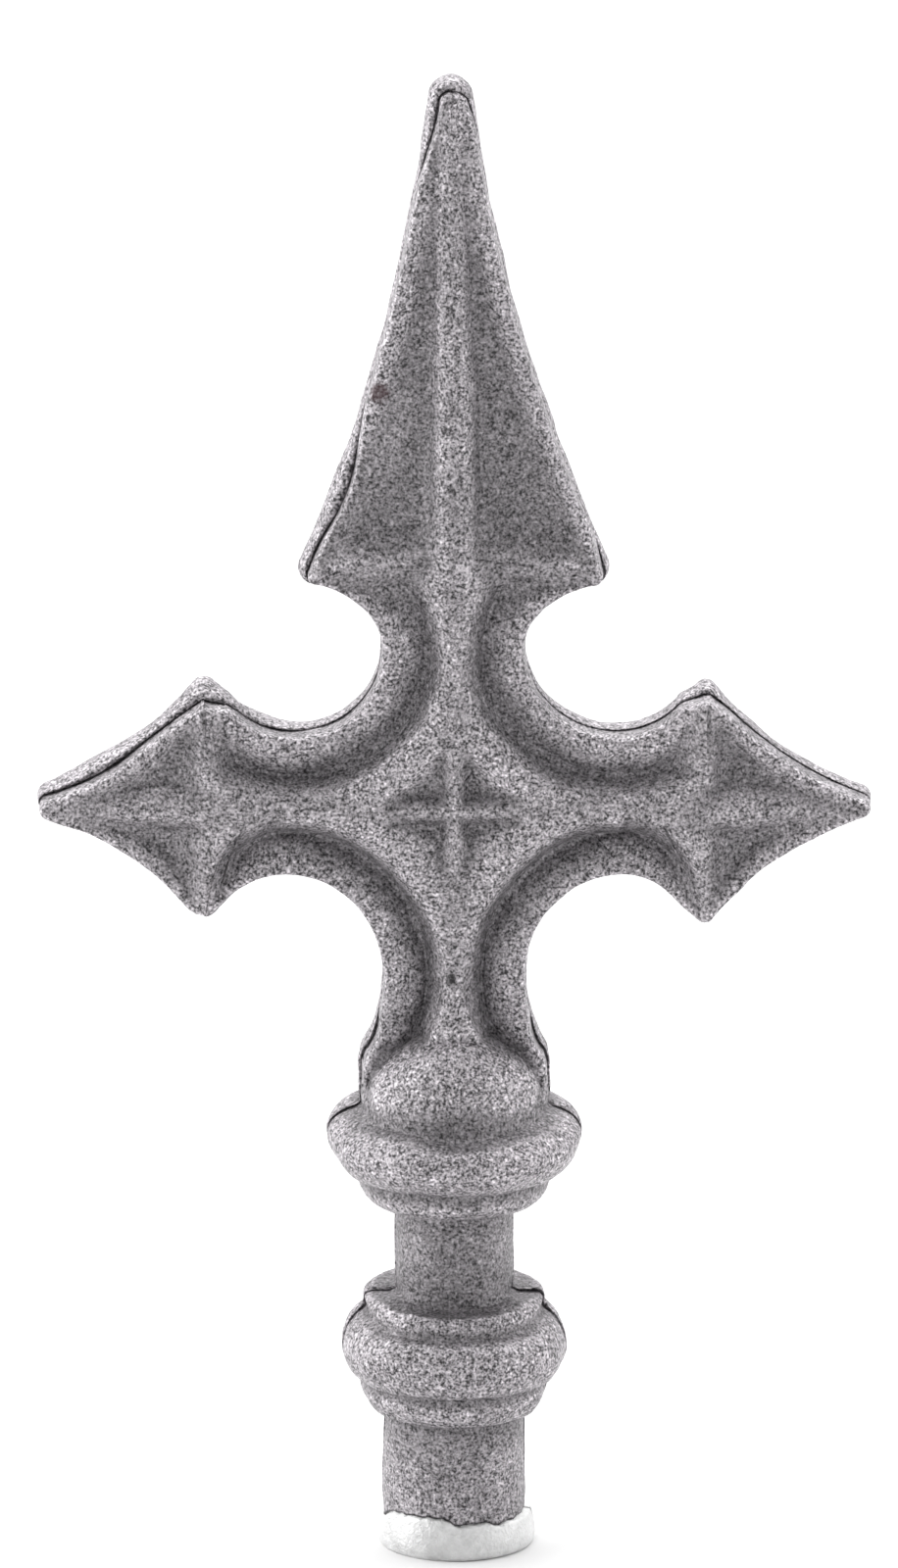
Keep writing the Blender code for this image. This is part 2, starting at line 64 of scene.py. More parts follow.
# Blade: concave sides, a rounded tip and rounded lower corners
TIP_RADIUS = 3.0 * MM
TIP_TANGENT = 8 * np.pi / 180
SIDE_TANGENT = 23 * np.pi / 180
SIDE_SWEEP = 16.9 * np.pi / 180
CORNER_X = 18.45 * MM
CORNER_Z = 134.2 * MM
CORNER_RADIUS = 2.1 * MM
BLADE_FOOT = 133.5 * MM
RIB_TOP_Z = 198.4 * MM
RIB_SHOULDER_Z = 195.5 * MM
CORNER_FACE_Z = 141.5 * MM
BLADE_FACE_Z = 137.0 * MM

# Upper notch between blade and arm, narrower above its middle than below
NOTCH_Z = 124.3 * MM
NOTCH_TOP_RISE = 7.8 * MM
NOTCH_LOW_X = 21.25 * MM
NOTCH_LOW_RADIUS = 11.6 * MM
STEM_HALF = 9.65 * MM
NOTCH_END = 318 * np.pi / 180

# Arrowhead arm: two barbs, and concave edges that run to a rounded tip
BARB_X = 33.3 * MM
BARB_RISE = 14.4 * MM
BARB_RADIUS = 1.4 * MM
BARB_FACE = 43 * np.pi / 180
ARM_TIP_RADIUS = 1.7 * MM
ARM_TIP_X = HALF_WIDTH - ARM_TIP_RADIUS
ARM_TIP_FACE = 69 * np.pi / 180
ARM_TOP_SWEEP = 28 * np.pi / 180
ARM_LOW_SWEEP = 33 * np.pi / 180
ARM_RIB_END_X = 52.3 * MM
ARM_POLE_X = 54.0 * MM
ARM_RIB_START = 27.0 * MM
BARB_ROOT_X = 29.0 * MM
BARB_KNEE_X = 32.4 * MM
BARB_KNEE_RISE = 4.2 * MM
ARROW_FOOT_X = 34.0 * MM

# Lower notch between arm and stem, and the flare of the stem below it
HOLLOW_X = 22.4 * MM
HOLLOW_Z = 79.0 * MM
HOLLOW_HALF_WIDTH = 12.8 * MM
HOLLOW_RISE = 14.3 * MM
HOLLOW_OUTER_Z = 81.0 * MM
HOLLOW_OUTER_HALF_WIDTH = 11.0 * MM
HOLLOW_OUTER_RISE = 12.3 * MM
HOLLOW_END = 42 * np.pi / 180
FLARE_RADIUS = 19.5 * MM
FLARE_SWEEP = 31 * np.pi / 180
STEM_FOOT_HALF = 12.85 * MM
STEM_FOOT_Z = 67.2 * MM

# Relief: half thicknesses from the parting plane, the half widths of ribs and ridges, the slopes of their
# flanks, the ovals along which the notches' channels are deepest, how far the changes between them are
# rounded, and over what lengths the rib's flank steepens and one region of the head gives way to the next
EDGE_ROUND = 0.8 * MM
RIM = 4.1 * MM
RIM_WIDTH = 4.0 * MM
TIP_RIM = 2.8 * MM
TIP_TAPER_Z = 184.0 * MM
PANEL = 2.7 * MM
CREASE = 2.2 * MM
RIDGE = 6.4 * MM
TIP_RIDGE = 3.6 * MM
ARM_TIP_RIDGE = 3.8 * MM
BARB_RIDGE = 4.6 * MM
BARB_KNEE_RIDGE = 5.7 * MM
BARB_ROOT_RIDGE = 6.2 * MM
FLANK = 1.9
FOOT_FLANK = 0.9
ARM_FLANK = 1.3
UPPER_CREASE_X = 21.15 * MM
UPPER_CREASE_Z = 123.3 * MM
UPPER_CREASE = 17.4 * MM
UPPER_CREASE_FALL = 16.6 * MM
LOWER_CREASE_X = 18.8 * MM
LOWER_CREASE_OUTER = 11.8 * MM
LOWER_CREASE_RISE = 20.0 * MM
LOWER_CREASE_FALL = 17.5 * MM
RIB_HALF = 2.3 * MM
TIP_RIB_HALF = 1.1 * MM
ARM_RIB_HALF = 1.7 * MM
ARM_TIP_RIB_HALF = 0.8 * MM
BARB_HALF = 0.8 * MM
BARB_KNEE_HALF = 1.0 * MM
BARB_ROOT_HALF = 1.2 * MM
BARB_FLANK = 1.2
FOOT_RIM_MIDDLE_Z = 137.0 * MM
FOOT_RIM_CORNER_Z = 135.6 * MM
FOOT_RIM_RIDGE = 4.7 * MM
FOOT_RIM_HALF = 1.0 * MM
FOOT_RIM_FLANK = 0.65
FOOT_RIM_BLEND = 1.4 * MM
BLEND = 0.35 * MM
CREST_BLEND = 1.6 * MM
RIDGE_SOFT = 0.9 * MM
SOFT_BLEND = 0.9 * MM
FLANK_RUN = 4 * MM
REGION_RUN = 2 * MM

# Shallow groove along the crease round each lower notch
CREASE_GROOVE = 0.35 * MM
CREASE_GROOVE_HALF = 0.6 * MM

# How far the stem's ridge rises towards the dome, and below which height
STEM_FAN = 5.5 * MM
STEM_FAN_Z = 86 * MM

# Crossing: a dished diamond with a thin cross standing in it. Its lower half is shallower by a share.
DISH_HALF_X = 11.4 * MM
DISH_HALF_Z = 10.5 * MM
DISH_DEPTH = 2.7 * MM
DISH_WALL = 0.75
DISH_LOW = 0.35
DISH_LOW_DROP = 1.5 * MM
DISH_LOW_RUN = 5 * MM
CROSS_HALF = 1.0 * MM
CROSS_DROP = 0.3 * MM
CROSS_FOOT = 2.1 * MM
CROSS_BLEND = 0.8 * MM

# Turned foot: radii and heights of its rounds
DOME_RADIUS = 12.8 * MM
DOME_Z = 62.0 * MM
DOME_RISE = 10.3 * MM
UPPER_RING_WIDTH = 6.1 * MM
UPPER_RING_X = HALF_DEPTH - UPPER_RING_WIDTH
UPPER_RING_Z = 57.5 * MM
UPPER_RING_RISE = 4.1 * MM
UPPER_RING_FALL = 6.2 * MM
UPPER_BEAD_Z = 50.2 * MM
UPPER_BEAD_FALL = 2.9 * MM
NECK_RADIUS = 8.0 * MM
CAP_TOP_Z = 35.6 * MM
CAP_RADIUS = 12.4 * MM
CAP_ROUND = 1.6 * MM
LOWER_RING_X = 8.25 * MM
LOWER_RING_Z = 27.5 * MM
LOWER_RING_WIDTH = 6.95 * MM
LOWER_RING_RISE = 7.1 * MM
LOWER_RING_FALL = 6.0 * MM
LOWER_BEAD_Z = 23.2 * MM
LOWER_BEAD_FALL = 4.8 * MM
SHANK_RADIUS = 9.65 * MM

# The ledge where the two halves of the mould meet: its width, its growth to the left and upwards, its least
# width and where the bare foot ends that has no more, its width on the turned foot and its growth there where
# it faces up, and its growth towards the tip
LEDGE = 0.12 * MM
SHIFT_LEFT = 0.04 * MM
SHIFT_UP = 0.3 * MM
LEAST_LEDGE = 0.08 * MM
BARE_TOP = 6 * MM
TURNED_LEDGE = 0.25 * MM
TURNED_UP = 1.5
TIP_LEDGE = 1.35 * MM
TIP_LEDGE_Z = 183.5 * MM
TIP_LEDGE_RUN = 12.5 * MM
# Where the ledge is wider: places (x, z), half widths, and how far the rear half grows and the front half
# shrinks
SWELLS = np.array([(-15.6, 145, 8.5, 0.1, 1.7), (-20.3, 133.5, 4, 0.15, 0.9), (-47, 107.5, 7, 0.95, 0.4),
                   (-37, 115, 4, 0.4, 0.4), (-33.3, 118, 3, 0.3, 1.3), (33.3, 118, 2.5, 0, 0.6),
                   (37, 115, 5, 0.2, 0), (-27, 113.5, 6, 0.4, 0), (29.5, 90.5, 5, 0.55, -0.5),
                   (20, 133.5, 4, 0, 0.8), (-33.5, 86, 2.2, -0.3, 1.5), (-45, 96.5, 9, -0.25, 0.25),
                   (10, 122, 6, -0.25, 0.25), (-10, 126, 6, 0.2, -0.2), (12.2, 71, 2.5, 0, 0.3),
                   (-12.2, 71, 2.5, 0, 0.35), (2.9, 197.6, 2.3, 0, 0.7)]) * MM

# The lips of the two halves and the crevice between them: how far each lip lies from the parting plane, and
# how wide and deep the crevice is. Along a wide ledge the rear lip stands further forward and the front rim
# is cut down. Up the sides of the blade the crevice is nearly closed.
FRONT_LIP = 0.2 * MM
REAR_LIP = 2.2 * MM
LIP_DROP = 0.15 * MM
LIP_OUT = 0.3 * MM
LIP_FOLD = 0.05 * MM
CREVICE = 0.2 * MM
CREVICE_DEPTH = 0.4 * MM
WIDE_LEDGE = 0.6 * MM
LIP_BULGE = 1.2 * MM
BULGE_LEDGE = 1.8 * MM
CREVICE_LEDGE = 1.6 * MM
CUT_LEDGE = 1.3 * MM
CUT_RUN = 6 * MM
BLADE_LIP_ROUND = 1.1 * MM
CLOSED_FOOT_Z = 139 * MM
CLOSED_FOOT_RUN = 6 * MM
CLOSED_TOP_Z = 191 * MM
CLOSED_TOP_RUN = 4 * MM

# Where the head passes into the turned foot
JOIN_Z = 73.5 * MM
JOIN_EASE = 0.1 * MM
JOIN_SOFT = 3.0 * MM

# Shallow grooves along the foot of the blade's rib and along the arms of the thin cross
RIB_GROOVE = 0.12 * MM
GROOVE_HALF = 0.8 * MM
GROOVE_TOP = 165 * MM
GROOVE_RUN = 15 * MM
CROSS_GROOVE = 0.1 * MM
CROSS_GROOVE_HALF = 0.45 * MM

# Ragged upper border of the bare foot: heights at angles round the front, from left to right, and at the
# back
BORDER_ANGLES = (-90, -60, -40, -12, 5, 20, 38, 55, 90)
BORDER_HEIGHTS = (3.1, 5.2, 5.5, 5.6, 4.8, 4.95, 4.4, 4.5, 4.5)
BORDER_BACK = 3.4 * MM
# Its ragged waves: heights, lengths and seeds, drawn on a ring of this radius
BORDER_WAVES = ((0.12 * MM, 3.0 * MM, 3), (0.07 * MM, 1.2 * MM, 4))
BORDER_RADIUS = 10 * MM
# The bare foot's profile: radius, share of the border's height, and height above that, all lengths in mm.
# The skin ends in a thin lip at the border, and the bare ring below it stands out past the shank.
BARE_FOOT = ((9.65, 1, 0.4), (9.6, 1, 0.12), (9.35, 1, 0.02), (9.4, 1, -0.1), (9.95, 1, -0.18),
             (10.12, 1, -0.45), (10.3, 0.75, 0), (10.45, 0.6, 0), (10.55, 0.45, 0), (10.6, 0.3, 0),
             (10.6, 0.15, 0), (10.45, 0.05, 0), (10.2, 0, 0), (9.5, 0, 0), (7.5, 0, 0), (5, 0, 0),
             (2.5, 0, 0), (0, 0, 0))

# Rows of points on a run from the edge to a ridge line: on a panel these distances from the edge and from
# the line, on a notch's channel these from the edge, and on a short run these shares of its length
PANEL_START = 2.6 * MM
PANEL_ENDS = (3.8 * MM, 3.0 * MM, 2.1 * MM, 0.9 * MM)
CHANNEL_ROWS = (3.6 * MM, 5.9 * MM, 8.1 * MM)
SHORT_ROWS = (0, 0.06, 0.2, 0.32, 0.44, 0.54, 0.64, 0.73, 0.82, 0.91, 1)
SHORT_RUN = 8 * MM
SHORT_EASE = 3 * MM

# How far the tip is bent to the left, from which height and over how much, and how far the bare ring is out
# of line
BEND = 0.5 * MM
BEND_START = 150 * MM
BEND_RUN = 35 * MM
RING_SHIFT = 0.35 * MM

# Points nearer than this are doubles. Waves of the skin: heights, lengths and seeds, which start over the
# flat foot. How often the surroundings are smoothed for the raised places.
DOUBLES = 0.002 * MM
SKIN_WAVES = ((0.09 * MM, 9 * MM, 1), (0.035 * MM, 3 * MM, 2))
FLAT_FOOT = 2 * MM
SMOOTHINGS = 60

# Places (x, y, z), half widths along the axes and depths: a pit on the left of the blade, a nick in the
# ridge of the stem below the crossing, a hollow between the dome and the upper collar, and a rise where the
# stem meets the dome
DENTS = np.array([(-9.8, -3.7, 158.8, 0.9, 0.9, 0.9, 0.45), (-0.3, -6.7, 79.8, 0.6, 1.2, 0.7, 0.9),
                  (0.8, -14, 62, 5, 4, 2.8, 0.8), (0, -9.5, 71.5, 4.5, 4.5, 4.2, -1.8)]) * MM
PIT = tuple(DENTS[0, :3])
NICK = (DENTS[1, 0], DENTS[1, 1] + DENTS[1, 6], DENTS[1, 2])
# Shares of the rings' heights at which they meet what is above and below them, as points on their ovals
RING_JOIN = np.sqrt(1 - ((DOME_RADIUS - UPPER_RING_X) / UPPER_RING_WIDTH) ** 2)
LOWER_JOIN = np.sqrt(1 - ((DOME_RADIUS - LOWER_RING_X) / LOWER_RING_WIDTH) ** 2)
CAP_JOIN = np.sqrt(1 - ((CAP_RADIUS - LOWER_RING_X) / LOWER_RING_WIDTH) ** 2)
# Heights, half heights and depths of the grooves round the collars: under the upper ring and its bead, over
# and under the lower ring, and under its bead
GROOVES = np.array([(UPPER_RING_Z - UPPER_RING_FALL * RING_JOIN, 0.55 * MM, 0.45 * MM),
                    (UPPER_BEAD_Z - UPPER_BEAD_FALL, 0.5 * MM, 0.4 * MM),
                    (LOWER_RING_Z + LOWER_RING_RISE * CAP_JOIN, 0.8 * MM, 0.35 * MM),
                    (LOWER_RING_Z - LOWER_RING_FALL * LOWER_JOIN, 0.6 * MM, 0.5 * MM),
                    (LOWER_BEAD_Z - LOWER_BEAD_FALL, 0.5 * MM, 0.4 * MM)])
# Heights, half heights and depths of the sags at the front of the upper and lower collar
SAGS = np.array([(60, 4.5, 1.5), (34, 3.5, 1.4)]) * MM


def arc_share(x):
    """x held between 0 and 1, with a smooth start and stop: three of its square less two of its cube."""
    x = np.clip(x, 0, 1)
    return x * x * (3 - 2 * x)


def ripple(points, size, seed):
    """An uneven wave of about this size: the sum of sixteen plane waves in seeded directions, brought to
    about 1."""
    draw = np.random.default_rng(seed)
    way = draw.normal(size=(16, 3))
    way = way / np.linalg.norm(way, axis=1)[:, None] * draw.uniform(0.6, 1.5, 16)[:, None] * 2 * np.pi / size
    return np.sin(points @ way.T + draw.uniform(0, 2 * np.pi, 16)).sum(-1) / 4


def arc(x, z, half_width, rise, start, end, steps):
    """Points on an ellipse about (x, z) from angle start to angle end, without the last one."""
    turn = np.linspace(start, end, steps * FINE + 1)[:-1]
    return np.column_stack([x + half_width * np.cos(turn), z + rise * np.sin(turn)])


def bow(first, last, sweep, steps):
    """Points on a circular arc from first to last that turns to the left by the angle sweep, without the
    last."""
    first = np.array(first)
    chord = np.array(last) - first
    offset = 0.5 / np.tan(sweep / 2)
    middle = first + 0.5 * chord + offset * np.array([-chord[1], chord[0]])
    out = first - middle
    turn = np.linspace(0, sweep, steps * FINE + 1)[:-1]
    return middle + np.column_stack(
        [out[0] * np.cos(turn) - out[1] * np.sin(turn), out[0] * np.sin(turn) + out[1] * np.cos(turn)]
    )


def straight(first, last, steps):
    """Points on a straight run, without the last one."""
    share = np.linspace(0, 1, steps + 1)[:-1, None]
    return np.array(first) * (1 - share) + np.array(last) * share


def on_circle(x, z, radius, angle):
    """The point of a circle at an angle."""
    return x + radius * np.cos(angle), z + radius * np.sin(angle)


def head_stations():
    """The outline of half the head from its tip to where the foot joins it, as runs of arcs and straight
    lines. Each point comes with the point of the ridge line that it faces, and with the length of the run
    that leaves it square to the edge."""
    right = np.pi / 2
    tip_end = on_circle(0, HEIGHT - TIP_RADIUS, TIP_RADIUS, TIP_TANGENT)
    side_end = on_circle(CORNER_X, CORNER_Z, CORNER_RADIUS, SIDE_TANGENT)
    barb_top = ARM_AXIS + BARB_RISE
    barb_low = ARM_AXIS - BARB_RISE
    notch_end = on_circle(NOTCH_LOW_X, NOTCH_Z, NOTCH_LOW_RADIUS, NOTCH_END)
    barb_in = on_circle(BARB_X, barb_top, BARB_RADIUS, np.pi - BARB_FACE)
    barb_out = on_circle(BARB_X, barb_top, BARB_RADIUS, BARB_FACE)
    arm_end = on_circle(ARM_TIP_X, ARM_AXIS, ARM_TIP_RADIUS, ARM_TIP_FACE)
    low_out = (barb_out[0], 2 * ARM_AXIS - barb_out[1])
    low_in = (barb_in[0], 2 * ARM_AXIS - barb_in[1])
    arm_back = (arm_end[0], 2 * ARM_AXIS - arm_end[1])
    hollow_outer = (HOLLOW_X, HOLLOW_OUTER_Z, HOLLOW_OUTER_HALF_WIDTH, HOLLOW_OUTER_RISE)
    hollow_start = arc(*hollow_outer, HOLLOW_END, right, 1)[0]
    flare_x = STEM_HALF + FLARE_RADIUS
    join_turn = np.pi + np.arcsin((HOLLOW_Z - JOIN_Z) / FLARE_RADIUS)

    centre = (0, ARM_AXIS)
    dish_top = (0, ARM_AXIS + DISH_HALF_Z)
    dish_side = (DISH_HALF_X, ARM_AXIS)
    dish_foot = (0, ARM_AXIS - DISH_HALF_Z)
    inner = (ARM_RIB_START, ARM_AXIS)
    barb_root = (BARB_ROOT_X, ARM_AXIS)
    barb_foot = (ARROW_FOOT_X, ARM_AXIS)
    arm_foot = (ARM_RIB_END_X, ARM_AXIS)
    arm_pole = (ARM_POLE_X, ARM_AXIS)
    notch = (NOTCH_LOW_X, NOTCH_Z, NOTCH_LOW_RADIUS, NOTCH_LOW_RADIUS)
    hollow = (HOLLOW_X, HOLLOW_Z, HOLLOW_HALF_WIDTH, HOLLOW_RISE)
    runs = (
        (arc(0, HEIGHT - TIP_RADIUS, TIP_RADIUS, TIP_RADIUS, right, TIP_TANGENT, 3),
         (0, RIB_TOP_Z), (0, RIB_SHOULDER_Z), 1.2 * MM),
        (bow(tip_end, side_end, SIDE_SWEEP, 11), (0, RIB_SHOULDER_Z), (0, CORNER_FACE_Z), 2.4 * MM),
        (arc(CORNER_X, CORNER_Z, CORNER_RADIUS, CORNER_RADIUS, SIDE_TANGENT, -right, 4),
         (0, CORNER_FACE_Z), (0, BLADE_FACE_Z), 1.4 * MM),
        (arc(CORNER_X, NOTCH_Z, CORNER_X - STEM_HALF, NOTCH_TOP_RISE, right, np.pi, 6),
         (0, BLADE_FACE_Z), (0, NOTCH_Z), 3 * MM),
        (arc(*notch, right * 2, right * 2.26, 3), (0, NOTCH_Z), dish_top, 4 * MM),
        (arc(*notch, right * 2.26, right * 2.52, 5), dish_top, centre, 4 * MM),
        (arc(*notch, right * 2.52, right * 2.86, 5), centre, dish_side, 4 * MM),
        (arc(*notch, right * 2.86, NOTCH_END, 5), dish_side, inner, 3 * MM),
        (straight(notch_end, barb_in, 2 * FINE), inner, barb_root, 1.6 * MM),
        (arc(BARB_X, barb_top, BARB_RADIUS, BARB_RADIUS, np.pi - BARB_FACE, BARB_FACE, 3),
         barb_root, barb_foot, 1.0 * MM),
        (bow(barb_out, arm_end, ARM_TOP_SWEEP, 6), barb_foot, arm_foot, 1.4 * MM),
        (arc(ARM_TIP_X, ARM_AXIS, ARM_TIP_RADIUS, ARM_TIP_RADIUS, ARM_TIP_FACE, 0, 2),
         arm_foot, arm_pole, 0.8 * MM),
        (arc(ARM_TIP_X, ARM_AXIS, ARM_TIP_RADIUS, ARM_TIP_RADIUS, 0, -ARM_TIP_FACE, 2),
         arm_pole, arm_foot, 0.8 * MM),
        (bow(arm_back, low_out, ARM_LOW_SWEEP, 6), arm_foot, barb_foot, 1.4 * MM),
        (arc(BARB_X, barb_low, BARB_RADIUS, BARB_RADIUS, -BARB_FACE, BARB_FACE - np.pi, 3),
         barb_foot, barb_root, 1.0 * MM),
        (straight(low_in, hollow_start, 2 * FINE), barb_root, inner, 1.6 * MM),
        (arc(*hollow_outer, HOLLOW_END, right, 5), inner, dish_side, 3 * MM),
        (arc(*hollow, right, right * 1.48, 5), dish_side, centre, 4 * MM),
        (arc(*hollow, right * 1.48, right * 1.78, 5), centre, dish_foot, 4 * MM),
        (arc(*hollow, right * 1.78, np.pi, 3), dish_foot, (0, HOLLOW_Z), 4 * MM),
        (arc(flare_x, HOLLOW_Z, FLARE_RADIUS, FLARE_RADIUS, np.pi, join_turn, 3),
         (0, HOLLOW_Z), (0, JOIN_Z), 4 * MM),
    )
    outline = np.vstack([run[0] for run in runs] + [on_circle(flare_x, HOLLOW_Z, FLARE_RADIUS, join_turn)])
    facing = np.vstack([straight(run[1], run[2], len(run[0])) for run in runs] + [(0, JOIN_Z)])
    square = np.concatenate([np.full(len(run[0]), run[3]) for run in runs] + [[0]])
    flare = outline[:, 1] < HOLLOW_Z - JOIN_EASE
    flare[: len(flare) // 2] = False
    shorter = np.clip((outline[:, 1] - JOIN_Z) / (HOLLOW_Z - JOIN_Z), 0.05, 1)
    square = np.where(flare, square * shorter, square)
    return outline, facing, square


def reach(values, level, along, otherwise):
    """Distance along each run at which its values first fall to a level, or otherwise where they never
    do."""
    low = values <= level
    first = along[np.arange(len(along)), low.argmax(1)]
    return np.where(low.any(1), first, otherwise)


def row_places(run, along, blade):
    """Distances of the lengthwise rows from the edge, on runs of points with their distances. blade is 1
    where the run crosses a panel to a rib, and 0 where it crosses a notch's channel to a ridge, or to the
    dish of the crossing."""
    length = along[:, -1]
    rim = [0 * length, 0.2 * EDGE_ROUND + 0 * length, 0.9 * EDGE_ROUND + 0 * length]
    start = PANEL_START + 0 * length
    ends = [length - end for end in PANEL_ENDS]
    panel = [start, 0.7 * start + 0.3 * ends[0], 0.35 * start + 0.65 * ends[0], *ends, length]
    x = run[:, :, 0]
    rise = np.abs(run[:, :, 1] - ARM_AXIS)
    size = x / DISH_HALF_X + rise / DISH_HALF_Z
    channel = [row + 0 * length for row in CHANNEL_ROWS]
    channel += [reach(size, 1, along, 0.64 * length), reach(size, 1 - DISH_WALL, along, 0.76 * length),
                reach(np.minimum(x, rise), CROSS_FOOT, along, 0.88 * length),
                reach(np.minimum(x, rise), CROSS_HALF, along, 0.94 * length), length]
    inner = [blade * p + (1 - blade) * c for p, c in zip(panel, channel)]
    wide = np.sort(np.column_stack(rim + inner), axis=1)
    narrow = length[:, None] * np.array(SHORT_ROWS)
    room = np.clip((length - SHORT_RUN) / SHORT_EASE, 0, 1)[:, None]
    gaps = np.maximum(np.diff(room * wide + (1 - room) * narrow, axis=1), 0.02 * length[:, None])
    places = np.cumsum(gaps, axis=1) * (length / gaps.sum(1))[:, None]
    return np.column_stack([0 * length, places])


def edge_distance(points, outline):
    """Shortest distance from each point to the outline's straight pieces."""
    start = outline[:-1]
    step = outline[1:] - start
    out = points[:, None, :] - start
    along = np.clip((out * step).sum(2) / (step * step).sum(1), 0, 1)
    return np.linalg.norm(out - along[..., None] * step, axis=2).min(1)


def beyond_oval(x, z, middle_x, middle_z, half_width, rise):
    """Distance outside an ellipse, less than zero inside it."""
    size = np.hypot((x - middle_x) / half_width, (z - middle_z) / rise)
    return (size - 1) * 0.5 * (half_width + rise)


def smooth_max(a, b, blend=BLEND):
    """The larger of two heights, with the valley between them rounded by blend."""
    return 0.5 * (a + b + np.hypot(a - b, blend))


def smooth_min(a, b, blend):
    """The smaller of two heights, with the crest between them rounded by blend."""
    return 0.5 * (a + b - np.hypot(a - b, blend))


def softened(distance):
    """A distance, or nearly nothing where it is below zero, with a round change between the two."""
    return 0.5 * (distance + np.hypot(distance, RIDGE_SOFT))


def ridge(x, z, first, last, top, half_width, slope):
    """Height of a ridge along a straight line, which falls off to its sides from a softened shoulder. top
    and half_width are pairs for its ends."""
    step = np.array(last) - np.array(first)
    share = np.clip(((x - first[0]) * step[0] + (z - first[1]) * step[1]) / (step @ step), 0, 1)
    away = np.hypot(x - first[0] - share * step[0], z - first[1] - share * step[1])
    flat = half_width[0] + (half_width[1] - half_width[0]) * share
    return top[0] + (top[1] - top[0]) * share - slope * (softened(away - flat) - softened(-flat))


def edge_share(edge):
    """Share of the full thickness at a distance from the outline: a steep side wall that rounds over at its
    top, as the cube root of one less a cube."""
    return np.cbrt(1 - (1 - np.clip(edge / EDGE_ROUND, 0, 1)) ** 3)


